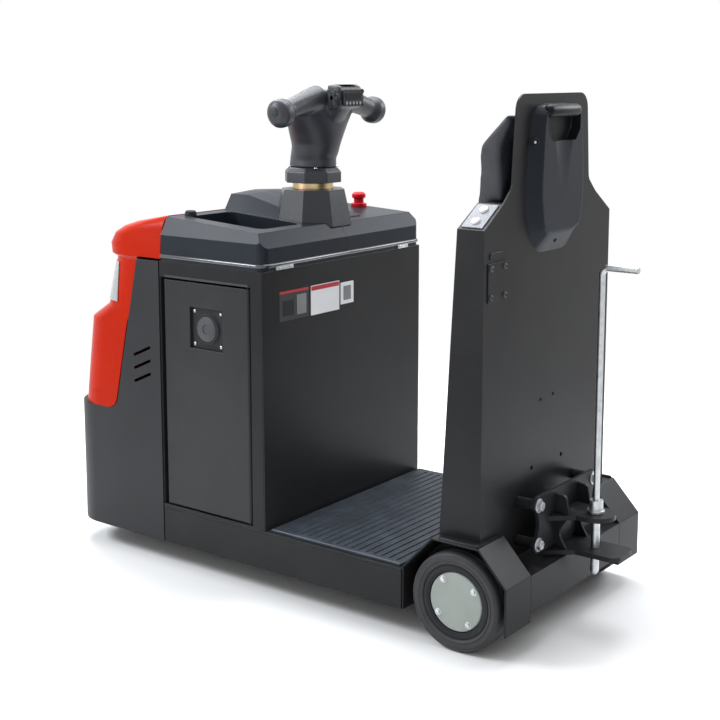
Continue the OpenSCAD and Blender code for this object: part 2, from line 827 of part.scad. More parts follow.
module jog_buttons() {
    color("#e6e7e8") on_shoulder() for (s = [-1, 1])
        translate([0, s * jog_plate[1] / 4, jog_plate[2]]) cylinder(d1 = 24, d2 = 20, h = 5);
}
module cover_plate() {
    color("#1f2124")
        slab([rest_x - 3, rest_hw - 104, shoulder_z - 173], [rest_x, rest_hw - 16, shoulder_z - 80]);
}

// Coupling: flanged bracket with two jaws, four bolts on spacers, and a pin on a lifting rod
module jaw(z, reach, nose_r) {
    tip = pin_x - reach;
    r = jaw_w / 2;
    upward(z, z + jaw_t) polygon(rounded([
        [flange_x, -jaw_root_w / 2, 0], [flange_x, jaw_root_w / 2, 0], [pin_x + r * 0.6, r, 0],
        [tip, r, nose_r], [tip, -r, nose_r], [pin_x + r * 0.6, -r, 0]
    ], 12));
}
module coupling_bracket() {
    web_t = 8;
    ear = bolt_d * 1.4;
    half = jaw_w / 2;
    web_top = jaw_top_z + 52;
    web_y = half + 12;
    scoop_r = 56;
    scoop_y = bolt_pitch_y / 2 + ear + scoop_r - 26;
    web = rounded([
        [flange_x, jaw_low_z - jaw_t, 0], [flange_x, web_top, 0],
        [flange_x - 40, web_top - 4, 12], [pin_x + 44, jaw_top_z, 8], [pin_x + 50, jaw_top_z - jaw_t, 0],
        [flange_x - 18, jaw_top_z - jaw_t - mouth_h / 2, 30],
        [pin_x + 50, jaw_low_z, 0], [pin_x + 46, jaw_low_z - jaw_t, 0]
    ]);
    color("#26282c") difference() {
        union() {
            along(flange_x - flange_t, flange_x) polygon(rounded([
                [-bolt_pitch_y / 2 - ear, bolt_z - bolt_pitch_z / 2 - ear, ear],
                [bolt_pitch_y / 2 + ear, bolt_z - bolt_pitch_z / 2 - ear, ear],
                [bolt_pitch_y / 2 + ear, bolt_z + bolt_pitch_z / 2 + ear, ear],
                [-bolt_pitch_y / 2 - ear, bolt_z + bolt_pitch_z / 2 + ear, ear]
            ]));
            both_hands() across(web_y - web_t, web_y) polygon(web);
            jaw(jaw_top_z - jaw_t, half, half - 0.1);
            jaw(jaw_low_z - jaw_t, lower_reach, 0.5 * half);
        }
        both_hands() translate([flange_x - flange_t - 1, scoop_y, bolt_z])
            rotate([0, 90, 0]) cylinder(r = scoop_r, h = flange_t + 2);
        translate([pin_x, 0, jaw_low_z - jaw_t - 1])
            cylinder(d = pin_d + 2 * pin_gap, h = jaw_top_z - jaw_low_z + jaw_t + 2);
        for (y = [-1, 1], z = [-1, 1])
            translate([flange_x - flange_t - 1, y * bolt_pitch_y / 2, bolt_z + z * bolt_pitch_z / 2])
                rotate([0, 90, 0]) cylinder(d = bolt_d + 2 * fit_gap, h = flange_t + 2);
    }
}
module coupling_bolts() {
    head_h = 10;
    color("#8d9095") for (y = [-1, 1], z = [-1, 1])
        translate([rest_x, y * bolt_pitch_y / 2, bolt_z + z * bolt_pitch_z / 2]) rotate([0, -90, 0]) {
            cylinder(d = bolt_d * 1.7, h = stand_off);
            cylinder(d = bolt_d, h = stand_off + flange_t + head_h);
            translate([0, 0, stand_off + flange_t]) cylinder(d = bolt_d * 1.75, h = head_h, $fn = 6);
        }
}
module tow_pin() {
    bend_r = 18;
    seat_z = jaw_top_z + fit_gap;
    profile = [
        [0, pin_low_z], [pin_d / 2 - 5, pin_low_z], [pin_d / 2, pin_low_z + 8], [pin_d / 2, seat_z],
        [pin_d, seat_z], [pin_d, seat_z + 8], [pin_d * 0.8, seat_z + 8], [pin_d * 0.8, seat_z + washer_h],
        [rod_d / 2, seat_z + washer_h], [rod_d / 2, rod_z - bend_r], [0, rod_z - bend_r]
    ];
    color("#c3c6c9") translate([pin_x, 0, 0]) {
        rotate_extrude() polygon(profile);
        translate([-bend_r, 0, rod_z - bend_r]) rotate([90, 0, 0])
            rotate_extrude(angle = 90) translate([bend_r, 0]) circle(d = rod_d);
        translate([-bend_r, 0, rod_z]) rotate([0, -90, 0]) cylinder(d = rod_d, h = rod_reach - bend_r);
    }
}

// Rear wheels: tyre, dished rim and cover disc, drawn from the inner face outwards
rim_step = 7;
module tyre_left() {
    r0 = rim_d / 2;
    r1 = rear_tyre_d / 2;
    w = rear_tyre_w;
    color("#1a1b1d") spun(0, wheel_y, axle_z)
        polygon(rounded([[r0, 6, 4], [r1, 0, shoulder_r], [r1, w, shoulder_r], [r0, w - 6, 4]]));
}
module wheel_left() {
    bore = axle_d / 2 + run_gap;
    r = rim_d / 2;
    w = rear_tyre_w;
    cap = cap_d / 2;
    profile = [
        [bore, 4], [38, 4], [38, 30], [r - 13, 30], [r - 13, 8], [r, 8],
        [r, w - rim_step], [cap + 2, w - rim_step],
        [cap + 2, w - 2 * rim_step], [cap - 8, w - 2 * rim_step],
        [cap - 8, w - 3 * rim_step], [r - 13, w - 3 * rim_step],
        [r - 13, 44], [38, 44], [38, 56], [bore, 56]
    ];
    color("#2d2f33") spun(0, wheel_y, axle_z) polygon(profile);
}
module cap_left() {
    r = cap_d / 2;
    y = rear_tyre_w - 2 * rim_step;
    color("#aeb5ae") spun(0, wheel_y, axle_z)
        polygon([[0, y], [r, y], [r, y + 4], [r - 3, y + 6], [0, y + 6]]);
}
module tyre_right() { right_hand() tyre_left(); }
module wheel_right() { right_hand() wheel_left(); }
module cap_right() { right_hand() cap_left(); }

// Steered drive unit under the red hood
module drive_plate() {
    color("#3a3d42") difference() {
        slab([cab_x, 20 - hw / 1.5, drive_plate_z], [wheelbase + 130, hw / 1.5 - 20, drive_plate_z + 12]);
        translate([wheelbase, 0, drive_plate_z - 1]) cylinder(d = spigot_d + 2 * run_gap, h = 14);
    }
}
module drive_fork() {
    cheek_t = 44;
    color("#55595f") translate([wheelbase, 0, 0]) {
        translate([0, 0, drive_plate_z - 30 - fit_gap]) cylinder(d = 210, h = 30);
        translate([0, 0, drive_plate_z - 30]) cylinder(d = spigot_d, h = 46);
        across(cheek_y, cheek_y + cheek_t) polygon(rounded([
            [-52, drive_z - 52, 40], [52, drive_z - 52, 40],
            [52, drive_plate_z - 20, 0], [-52, drive_plate_z - 20, 0]
        ]));
        translate([0, cheek_y + 1, drive_z]) rotate([90, 0, 0])
            cylinder(d = drive_axle_d, h = cheek_y + drive_tyre_w / 2 - 6);
    }
}
module drive_motor() {
    z = drive_plate_z + 16;
    color("#44484e") translate([wheelbase, 0, z]) {
        cylinder(d = motor_d, h = motor_h);
        translate([0, 0, motor_h]) cylinder(d = motor_d * 0.7, h = 26);
    }
}
module drive_tyre() {
    r0 = drive_tyre_d / 2 - 28;
    r1 = drive_tyre_d / 2;
    w = drive_tyre_w;
    color("#202124") spun(wheelbase, -w / 2, drive_z)
        polygon(rounded([[r0, 2, 2], [r1, 0, 8], [r1, w, 8], [r0, w - 2, 2]]));
}
module drive_hub() {
    r = drive_tyre_d / 2 - 28;
    w = drive_tyre_w;
    bore = drive_axle_d / 2 + run_gap;
    profile = [
        [bore, 2], [r, 4], [r, w - 4], [r - 14, w - 4],
        [r - 18, w - 20], [40, w - 20], [36, w - 1], [bore, w - 1]
    ];
    color("#7d8288") spun(wheelbase, -w / 2, drive_z) polygon(profile);
}

module place() {
    translate([-origin_x, 0, 0]) children();
}
place() floor_plate();
place() side_rail_left();
place() side_rail_right();
place() cross_plates();
place() platform_mat();
place() fender_left();
place() fender_right();
place() kick_plate();
place() rear_plate();
place() stub_axles();
place() cabinet_wall();
place() cabinet_left();
place() cabinet_right();
place() bulkhead();
place() battery();
place() battery_door();
place() charge_socket();
place() top_hood_left();
place() top_hood_right();
place() emergency_stop();
place() front_skirt();
place() front_hood();
place() head_lamp();
place() steering_pedestal();
place() steering_collar();
place() handle_base();
place() handle_neck();
place() handle_bar();
place() handle_head();
place() backrest_shell();
place() backrest_front();
place() backrest_pad();
place() pad_spacer();
place() rear_tray();
place() jog_panel();
place() jog_buttons();
place() cover_plate();
place() coupling_bracket();
place() coupling_bolts();
place() tow_pin();
place() tyre_left();
place() wheel_left();
place() cap_left();
place() tyre_right();
place() wheel_right();
place() cap_right();
place() drive_plate();
place() drive_fork();
place() drive_motor();
place() drive_tyre();
place() drive_hub();
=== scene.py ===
import json
import math

import bmesh
import bpy
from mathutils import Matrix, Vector


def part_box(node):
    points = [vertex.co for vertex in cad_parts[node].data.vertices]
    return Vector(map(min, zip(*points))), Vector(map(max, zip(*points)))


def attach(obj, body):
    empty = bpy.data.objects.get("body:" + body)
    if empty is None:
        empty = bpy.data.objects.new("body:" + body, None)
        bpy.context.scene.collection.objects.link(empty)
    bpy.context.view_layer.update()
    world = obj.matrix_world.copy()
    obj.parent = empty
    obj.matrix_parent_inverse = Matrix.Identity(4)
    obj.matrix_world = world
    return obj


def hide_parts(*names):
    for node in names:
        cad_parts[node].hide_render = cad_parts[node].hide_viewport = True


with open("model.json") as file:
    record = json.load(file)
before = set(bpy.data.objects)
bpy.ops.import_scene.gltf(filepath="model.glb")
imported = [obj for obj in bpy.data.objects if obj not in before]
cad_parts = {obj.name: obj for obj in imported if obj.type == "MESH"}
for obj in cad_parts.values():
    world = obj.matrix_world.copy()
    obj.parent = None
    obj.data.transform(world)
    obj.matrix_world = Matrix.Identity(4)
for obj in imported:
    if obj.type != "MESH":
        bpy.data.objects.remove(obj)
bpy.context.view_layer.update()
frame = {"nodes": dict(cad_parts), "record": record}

NODES = frame["nodes"]
SLOT_OF = {part["node"]: part["material_slot"] for part in frame["record"]["subparts"]}
# The rear axle's place in the frame: drawing sizes are millimetres from it
AXLE_X = -541.5
# Rear faces of the cabinet's wall and the back rest, outer face of the sides, steering axis
WALL_X = 597.0
REST_X = -49.0
SIDE_Y = 360.0
STEER_X = 718.0
SIDES = {"left": 1, "right": -1}
# Directions across and up a plate that faces the rear
REARWARD = ((0, -1, 0), (0, 0, 1))


def at(x, y, z):
    return Vector(((x + AXLE_X) / 1000, y / 1000, z / 1000))


# Shader maths


class Value:
    """A socket in a finish; operators on it add Math nodes."""

    def __init__(self, finish, socket):
        self.finish = finish
        self.socket = socket

    def math(self, operation, *others):
        inputs = dict(enumerate((self, *others)))
        return self.finish.node("ShaderNodeMath", {"operation": operation}, inputs)

    def __add__(self, other):
        return self.math("ADD", other)

    def __sub__(self, other):
        return self.math("SUBTRACT", other)

    def __rsub__(self, other):
        return self.finish.node("ShaderNodeMath", {"operation": "SUBTRACT"}, {0: other, 1: self})

    def __mul__(self, other):
        return self.math("MULTIPLY", other)

    __radd__ = __add__
    __rmul__ = __mul__

    def rise(self, low, high):
        """0 below low, 1 above high, smooth between."""
        return self.finish.node(
            "ShaderNodeMapRange",
            {"interpolation_type": "SMOOTHSTEP"},
            {"Value": self, "From Min": low, "From Max": high},
        )

    def mix(self, dark, light):
        """A colour between two, with this value as the share of the second."""
        return self.finish.node(
            "ShaderNodeMix",
            {"data_type": "RGBA"},
            {"Factor_Float": self, "A_Color": dark, "B_Color": light},
            "Result_Color",
        )


class Finish:
    """One material of the tractor, or the studio's world, built from nodes."""

    def __init__(self, name, owner=None, place="Object"):
        self.material = owner or bpy.data.materials.new(name)
        self.material.use_nodes = True
        self.tree = self.material.node_tree
        self.tree.nodes.clear()
        self.place = self.node("ShaderNodeTexCoord", out=place)

    def node(self, kind, settings=None, sockets=None, out=0):
        made = self.tree.nodes.new(kind)
        for key, value in (settings or {}).items():
            setattr(made, key, value)
        for key, value in (sockets or {}).items():
            socket = self.pick(made.inputs, key)
            if isinstance(value, Value):
                self.tree.links.new(value.socket, socket)
            else:
                socket.default_value = value
        return Value(self, self.pick(made.outputs, out)) if made.outputs else None

    @staticmethod
    def pick(sockets, key):
        if isinstance(key, int):
            return sockets[key]
        return next(s for s in sockets if key in (s.identifier, s.name))

    def noise(self, scale, detail=2.0, roughness=0.5, where=None):
        sockets = {"Vector": where or self.place, "Scale": scale, "Detail": detail, "Roughness": roughness}
        return self.node("ShaderNodeTexNoise", None, sockets, "Fac")

    def cells(self, scale, feature="F1"):
        sockets = {"Vector": self.place, "Scale": scale}
        return self.node("ShaderNodeTexVoronoi", {"feature": feature}, sockets, "Distance")

    def stretched(self, scale):
        settings = {"operation": "MULTIPLY"}
        return self.node("ShaderNodeVectorMath", settings, {0: self.place, 1: scale}, "Vector")

    def axis(self, name):
        return self.node("ShaderNodeSeparateXYZ", None, {"Vector": self.place}, name)

    def facing_up(self):
        normal = self.node("ShaderNodeNewGeometry", out="Normal")
        return self.node("ShaderNodeSeparateXYZ", None, {"Vector": normal}, "Z")

    def bump(self, height, depth):
        return self.node("ShaderNodeBump", None, {"Height": height, "Distance": depth}, "Normal")

    def surface(self, **sockets):
        names = {key.replace("_", " ").title(): value for key, value in sockets.items()}
        labels = {name.replace("Ior", "IOR"): value for name, value in names.items()}
        self.finish_with(self.node("ShaderNodeBsdfPrincipled", None, labels))
        return self.material

    def finish_with(self, shader, kind="ShaderNodeOutputMaterial"):
        self.node(kind, None, {"Surface": shader})


def rgb(red, green, blue):
    return (red, green, blue, 1.0)


# Finishes


def powder_coat(name, dark, light, rough=0.3, peel=0.0001):
    """Satin powder coat: fine orange peel, faint cloudiness, a trace of dust on level faces."""
    f = Finish(name)
    cloud = f.noise(3.2, 4.0, 0.6)
    peel_height = f.noise(420.0, 2.0) * 0.7 + f.noise(1300.0, 1.0) * 0.3
    dust = f.facing_up().rise(0.6, 1.0) * f.noise(38.0, 5.0, 0.65).rise(0.45, 0.75)
    tone = cloud.rise(0.3, 0.7).mix(dark, light)
    colour = (dust * 0.22).mix(tone, rgb(0.11, 0.115, 0.12))
    roughness = rough + cloud * 0.08 + dust * 0.12
    return f.surface(
        base_color=colour,
        roughness=roughness,
        normal=f.bump(peel_height, peel),
        specular_ior_level=0.14,
    )


def moulding(name, dark, light, rough=0.42, grain=0.00016, scale=900.0, gloss=0.22):
    """Grained moulded plastic."""
    f = Finish(name)
    cloud = f.noise(5.0, 3.0)
    pits = f.cells(scale)
    height = pits * 0.7 + f.noise(scale * 0.45, 3.0) * 0.5
    return f.surface(
        base_color=cloud.rise(0.3, 0.72).mix(dark, light),
        roughness=rough + cloud * 0.1 + pits * 0.06,
        normal=f.bump(height, grain),
        specular_ior_level=gloss,
    )


def gloss_moulding(name, colour, deep, rough=0.2, coat=0.03):
    """Smooth painted or moulded plastic with a clear skin."""
    f = Finish(name)
    cloud = f.noise(4.0, 3.0)
    peel = f.noise(520.0, 2.0)
    return f.surface(
        base_color=cloud.rise(0.25, 0.75).mix(deep, colour),
        roughness=rough + cloud * 0.08,
        normal=f.bump(peel, 0.00004),
        coat_weight=coat,
        coat_roughness=0.08,
        specular_ior_level=0.06,
    )


def rubber(name, dark, light, rough=0.72, depth=0.00025, scale=600.0):
    f = Finish(name)
    cloud = f.noise(9.0, 5.0, 0.65)
    speck = f.noise(scale, 3.0)
    return f.surface(
        base_color=cloud.rise(0.35, 0.75).mix(dark, light),
        roughness=rough + cloud * 0.14 - speck * 0.05,
        normal=f.bump(speck + f.noise(90.0, 3.0) * 0.6, depth),
        specular_ior_level=0.35,
    )


def plated(name, dark, light, rough=0.24, tint=None):
    """Zinc plate: bright, faintly mottled, with fine drawn lines."""
    f = Finish(name)
    spangle = f.noise(60.0, 3.0, 0.6)
    lines = f.noise(30.0, 3.0, 0.6, f.stretched((60.0, 60.0, 6.0)))
    colour = spangle.rise(0.3, 0.7).mix(dark, light)
    if tint:
        colour = f.noise(34.0, 3.0).rise(0.42, 0.66).mix(colour, tint)
    return f.surface(
        base_color=colour,
        metallic=1.0,
        roughness=rough + spangle * 0.12 + lines * 0.1,
        normal=f.bump(lines, 0.00002),
    )


def cast(name, dark, light):
    f = Finish(name)
    sand = f.noise(260.0, 4.0, 0.6)
    return f.surface(
        base_color=f.noise(12.0, 4.0).rise(0.3, 0.7).mix(dark, light),
        roughness=0.55 + sand * 0.15,
        normal=f.bump(sand, 0.0006),
    )


def ribbed_mat(name):
    """Slate rubber with fine lengthwise ribs between the moulded grooves and scuffed crests."""
    f = Finish(name)
    y = f.axis("Y")
    ribs = (y * 900.0).math("SINE") * 0.5 + 0.5
    wear = f.noise(16.0, 6.0, 0.7).rise(0.42, 0.7)
    streak = f.noise(5.0, 4.0, 0.6, f.stretched((3.0, 22.0, 3.0))).rise(0.4, 0.75)
    tone = (wear * 0.6 + streak * 0.4).mix(rgb(0.022, 0.028, 0.038), rgb(0.052, 0.065, 0.085))
    return f.surface(
        base_color=tone,
        roughness=0.5 + wear * 0.12 - ribs * 0.05,
        normal=f.bump(ribs * 0.6 + f.noise(500.0, 2.0) * 0.4, 0.0005),
        specular_ior_level=0.25,
    )


def foam_skin(name):
    """Integral skin foam: leather grain with shallow creases."""
    f = Finish(name)
    pebbles = f.cells(420.0, "SMOOTH_F1")
    folds = f.noise(24.0, 4.0)
    return f.surface(
        base_color=folds.rise(0.3, 0.7).mix(rgb(0.013, 0.015, 0.02), rgb(0.022, 0.025, 0.032)),
        roughness=0.46 + pebbles * 0.15 + folds * 0.06,
        normal=f.bump(pebbles * 0.8 + folds * 0.4, 0.0004),
    )


def lens(name):
    f = Finish(name)
    flutes = (f.axis("Z") * 1400.0).math("SINE") * 0.5 + 0.5
    return f.surface(
        base_color=flutes.mix(rgb(0.16, 0.17, 0.18), rgb(0.36, 0.37, 0.39)),
        roughness=0.14 + flutes * 0.08,
        normal=f.bump(flutes, 0.0006),
        coat_weight=0.6,
        coat_roughness=0.04,
    )


FINISHES = {
    "body_paint": powder_coat("body_powder_coat", rgb(0.013, 0.0132, 0.0142), rgb(0.019, 0.0193, 0.0205)),
    "door_paint": powder_coat(
        "door_powder_coat", rgb(0.025, 0.0252, 0.0262), rgb(0.033, 0.0333, 0.0345), 0.28
    ),
    "mat_rubber": ribbed_mat("ribbed_mat"),
    "machined_steel": plated("machined_steel", rgb(0.4, 0.41, 0.43), rgb(0.55, 0.56, 0.58), 0.3),
    "battery_case": moulding("battery_case", rgb(0.09, 0.1, 0.11), rgb(0.12, 0.13, 0.14), 0.5),
    "socket_plastic": moulding("socket_moulding", rgb(0.009, 0.01, 0.011), rgb(0.015, 0.016, 0.018), 0.45),
    "hood_plastic": moulding(
        "top_hood_moulding", rgb(0.012, 0.015, 0.021), rgb(0.018, 0.022, 0.03), 0.25, 0.00007, gloss=0.12
    ),
    "skirt_plastic": moulding(
        "skirt_moulding", rgb(0.0145, 0.0152, 0.0172), rgb(0.0205, 0.0212, 0.024), 0.4, 0.00014
    ),
    "hood_red": gloss_moulding("red_hood", rgb(0.42, 0.0155, 0.0018), rgb(0.37, 0.0125, 0.0014), 0.24),
    "stop_red": gloss_moulding("stop_button_red", rgb(0.6, 0.02, 0.03), rgb(0.46, 0.014, 0.022)),
    "lamp_lens": lens("lamp_lens"),
    "yellow_zinc": plated(
        "yellow_zinc", rgb(0.5, 0.4, 0.17), rgb(0.64, 0.54, 0.28), 0.24, rgb(0.64, 0.38, 0.32)
    ),
    "handle_plastic": moulding(
        "handle_moulding", rgb(0.026, 0.029, 0.037), rgb(0.037, 0.041, 0.05), 0.32, 0.0001, gloss=0.4
    ),
    "grip_rubber": rubber("grip_rubber", rgb(0.018, 0.02, 0.024), rgb(0.03, 0.033, 0.039), 0.5),
    "pad_skin": foam_skin("pad_foam_skin"),
    "jog_plate": moulding("jog_plate_silver", rgb(0.25, 0.255, 0.28), rgb(0.31, 0.315, 0.34), 0.3, 0.00004),
    "jog_button": gloss_moulding("jog_button_pale", rgb(0.8, 0.8, 0.8), rgb(0.7, 0.71, 0.72)),
    "coupling_steel": powder_coat(
        "coupling_paint", rgb(0.013, 0.014, 0.016), rgb(0.022, 0.023, 0.026), 0.36, 0.0002
    ),
    "zinc_steel": plated("bright_zinc", rgb(0.46, 0.48, 0.49), rgb(0.6, 0.62, 0.63), 0.26),
    "tyre_rubber": rubber("tyre_rubber", rgb(0.024, 0.024, 0.026), rgb(0.042, 0.042, 0.045), 0.55),
    "rim_paint": powder_coat("rim_paint", rgb(0.016, 0.017, 0.019), rgb(0.026, 0.027, 0.03), 0.44),
    "cap_metal": moulding("wheel_disc_paint", rgb(0.25, 0.28, 0.255), rgb(0.3, 0.33, 0.305), 0.34, 0.00006),
    "drive_casting": cast("drive_casting", rgb(0.04, 0.042, 0.046), rgb(0.065, 0.067, 0.072)),
}

# Finishes of single pieces
DARK_WINDOW = moulding("head_window", rgb(0.004, 0.004, 0.005), rgb(0.006, 0.006, 0.007), 0.08, 0.00001)
LABEL_WHITE = moulding("label_white", rgb(0.76, 0.77, 0.78), rgb(0.82, 0.82, 0.83), 0.4, 0.00003)
LABEL_RED = moulding("label_red", rgb(0.42, 0.03, 0.045), rgb(0.5, 0.04, 0.055), 0.4, 0.00003)
LABEL_GREY = moulding("label_grey", rgb(0.19, 0.2, 0.2), rgb(0.24, 0.25, 0.25), 0.42, 0.00003)
LABEL_DARK = moulding("label_dark", rgb(0.035, 0.036, 0.038), rgb(0.05, 0.052, 0.055), 0.42, 0.00003)
# Near-black finish for the pocket's inner faces and the roll above it: painted shade
POCKET_SHADE = moulding(
    "pocket_painted_shade", rgb(0.004, 0.0045, 0.006), rgb(0.007, 0.008, 0.01), 0.3, 0.00007, gloss=0.14
)
LIP_GLOSS = moulding(
    "hood_lip_gloss", rgb(0.02, 0.023, 0.03), rgb(0.026, 0.03, 0.038), 0.1, 0.00003, gloss=0.9
)
# Pale rubber for strips along the mat's long edges: a painted highlight on the mat's edges
MAT_EDGE_HIGHLIGHT = rubber("mat_edge_painted_highlight", rgb(0.1, 0.11, 0.12), rgb(0.15, 0.16, 0.175), 0.5)
PLUG_GREY = moulding("charge_plug_grey", rgb(0.045, 0.048, 0.052), rgb(0.065, 0.068, 0.074), 0.35, 0.0001)
# Solids that shine more than the rest of their slot
OWN_FINISH = {
    "steering_pedestal": moulding(
        "pedestal_gloss", rgb(0.014, 0.017, 0.023), rgb(0.02, 0.024, 0.032), 0.2, 0.00005, gloss=0.45
    ),
}

for name, node in NODES.items():
    node.data.materials.clear()
    node.data.materials.append(OWN_FINISH.get(name, FINISHES[SLOT_OF[name]]))


# Rounded edges on the rigid solids, made by modifiers so that the solids stay as they are


def smooth_group():
    group = bpy.data.node_groups.new("smooth_faces", "GeometryNodeTree")
    group.interface.new_socket("Geometry", in_out="INPUT", socket_type="NodeSocketGeometry")
    group.interface.new_socket("Geometry", in_out="OUTPUT", socket_type="NodeSocketGeometry")
    source = group.nodes.new("NodeGroupInput")
    smooth = group.nodes.new("GeometryNodeSetShadeSmooth")
    target = group.nodes.new("NodeGroupOutput")
    group.links.new(source.outputs[0], smooth.inputs[0])
    group.links.new(smooth.outputs[0], target.inputs[0])
    return group


SMOOTH = smooth_group()


def soften(obj, width, segments=2, angle=28.0):
    """Rounds an object's hard edges by width millimetres and shades its curves smooth."""
    weld = obj.modifiers.new("weld", "WELD")
    weld.merge_threshold = 0.00002
    flat = obj.modifiers.new("flat_faces", "DECIMATE")
    flat.decimate_type = "DISSOLVE"
    flat.angle_limit = math.radians(0.4)
    edge = obj.modifiers.new("rounded_edges", "BEVEL")
    edge.width = width / 1000
    edge.segments = segments
    edge.limit_method = "ANGLE"
    edge.angle_limit = math.radians(angle)
    edge.use_clamp_overlap = True
    edge.harden_normals = False
    smooth = obj.modifiers.new("smooth", "NODES")
    smooth.node_group = SMOOTH
    normals = obj.modifiers.new("normals", "WEIGHTED_NORMAL")
    normals.mode = "FACE_AREA"
    normals.weight = 60
    normals.keep_sharp = False


# Widths of the rounding that differ from 1 mm
EDGE_WIDTH = {
    "top_hood_left": 8.0, "top_hood_right": 8.0, "steering_pedestal": 5.0, "front_hood": 4.0,
    "front_skirt": 0.8, "handle_base": 2.0, "battery_door": 2.0, "backrest_shell": 1.6, "fender_left": 1.8,
    "fender_right": 1.8, "coupling_bracket": 1.5, "cabinet_wall": 1.8, "cabinet_left": 1.5,
    "cabinet_right": 1.5, "floor_plate": 1.5, "platform_mat": 0.8,
}
for name, node in NODES.items():
    soften(node, EDGE_WIDTH.get(name, 1.0))


# Mesh tools for the pieces that the solids leave to this script


def skin(bm, first, second):
    """Faces between two closed rings, of which one may be a single point."""
    count = max(len(first), len(second))
    for i in range(count):
        j = (i + 1) % count
        if len(first) == 1:
            bm.faces.new((first[0], second[j], second[i]))
        elif len(second) == 1:
            bm.faces.new((first[i], first[j], second[0]))
        else:
            bm.faces.new((first[i], first[j], second[j], second[i]))


def lofted(bm, rings):
    """A closed form over rings of points, with a flat face at each end."""
    rows = [[bm.verts.new(point) for point in ring] for ring in rings]
    for first, second in zip(rows, rows[1:]):
        skin(bm, first, second)
    bm.faces.new(rows[0])
    bm.faces.new(rows[-1])


def circle(bm, middle, side, other, radius, steps, clock=0.0):
    """A ring of vertices around a point; radius in millimetres."""
    angles = [clock + 2 * math.pi * k / steps for k in range(steps)]
    arms = [side * math.cos(a) + other * math.sin(a) for a in angles]
    return [bm.verts.new(middle + arm * (radius / 1000)) for arm in arms]


def turned(bm, profile, centre, direction, steps=32, clock=0.0):
    """A turned shape: profile is (radius, height) in millimetres along a direction."""
    along = Vector(direction).normalized()
    side = Vector((0, 0, 1)) if abs(along.z) < 0.9 else Vector((1, 0, 0))
    side = (side - along * side.dot(along)).normalized()
    other = along.cross(side)
    rings = []
    for radius, height in profile:
        middle = centre + along * (height / 1000)
        if radius < 1e-6:
            rings.append([bm.verts.new(middle)])
            continue
        rings.append(circle(bm, middle, side, other, radius, steps, clock))
    for first, second in zip(rings, rings[1:]):
        skin(bm, first, second)


def plate(bm, centre, across, up, size, thick, corner=3.0, edge=0.5):
    """A flat plate with round corners and a softened rim. Its back lies at centre."""
    u, v = Vector(across).normalized(), Vector(up).normalized()
    out = u.cross(v)
    half = (size[0] / 2, size[1] / 2)
    outline = []
    for sx, sy, start in ((1, 1, 0), (-1, 1, 90), (-1, -1, 180), (1, -1, 270)):
        for k in range(5):
            a = math.radians(start + 22.5 * k)
            outline.append((
                sx * (half[0] - corner) + corner * math.cos(a),
                sy * (half[1] - corner) + corner * math.sin(a),
            ))
    rings = []
    for inset, height in ((0.0, 0.0), (0.0, thick - edge), (edge, thick)):
        shrink = (1 - inset / half[0], 1 - inset / half[1])
        rings.append([
            centre + (u * x * shrink[0] + v * y * shrink[1] + out * height) / 1000 for x, y in outline
        ])
    lofted(bm, rings)


def hex_bolt(bm, centre, direction, size, clock=0.0):
    """A hexagon head on its washer; size is the head's corner radius."""
    washer = 0.22 * size
    disc = [(0, 0), (1.45 * size, 0), (1.45 * size, 0.7 * washer), (1.35 * size, washer), (0, washer)]
    turned(bm, disc, centre, direction, 24)
    top = 0.75 * size + washer
    head = [(size, washer * 0.9), (size, top - 0.12 * size), (0.84 * size, top), (0, top)]
    turned(bm, head, centre, direction, 6, clock)


def dome_screw(bm, centre, direction, size):
    """A low round head with a hexagon socket."""
    rim = [(1, 0), (1, 0.12), (0.9, 0.36), (0.62, 0.54), (0.4, 0.58)]
    socket = [(0.4, 0.58), (0.38, 0.25), (0, 0.22)]
    for profile in (rim, socket):
        turned(bm, [(radius * size, height * size) for radius, height in profile], centre, direction, 18)


def piece(name, bm, slot, body, finish=None, crease=32.0):
    """Makes a mesh a piece of the tractor: finish, smooth shading and the body it rides on."""
    bmesh.ops.remove_doubles(bm, verts=bm.verts, dist=0.000005)
    bmesh.ops.recalc_face_normals(bm, faces=bm.faces)
    mesh = bpy.data.meshes.new(name)
    bm.to_mesh(mesh)
    bm.free()
    mesh.polygons.foreach_set("use_smooth", [True] * len(mesh.polygons))
    mesh.set_sharp_from_angle(angle=math.radians(crease))
    mesh.materials.append(finish or FINISHES[slot])
    obj = bpy.data.objects.new(name, mesh)
    bpy.context.scene.collection.objects.link(obj)
    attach(obj, body)
    return obj


def tube(bm, path, radius, steps=12):
    """A round bead along a path of points, with domed ends."""
    ends = [(0.0, -1.0), (0.5, -0.87), (0.87, -0.5)]
    aims = [(b - a).normalized() for a, b in zip(path, path[1:])]
    rings = []
    for i, point in enumerate(path):
        aim = (aims[max(i - 1, 0)] + aims[min(i, len(aims) - 1)]).normalized()
        side = aim.cross(Vector((0.3, 0.2, 1.0))).normalized()
        other = aim.cross(side)
        shares = [(1.0, 0.0)]
        if i == 0:
            shares = ends + shares
        if i == len(path) - 1:
            shares = shares + [(r, -h) for r, h in reversed(ends)]
        for share, ahead in shares:
            middle = point + aim * (ahead * radius / 1000)
            if share == 0.0:
                rings.append([bm.verts.new(middle)])
                continue
            rings.append(circle(bm, middle, side, other, share * radius, steps))
    for first, second in zip(rings, rings[1:]):
        skin(bm, first, second)


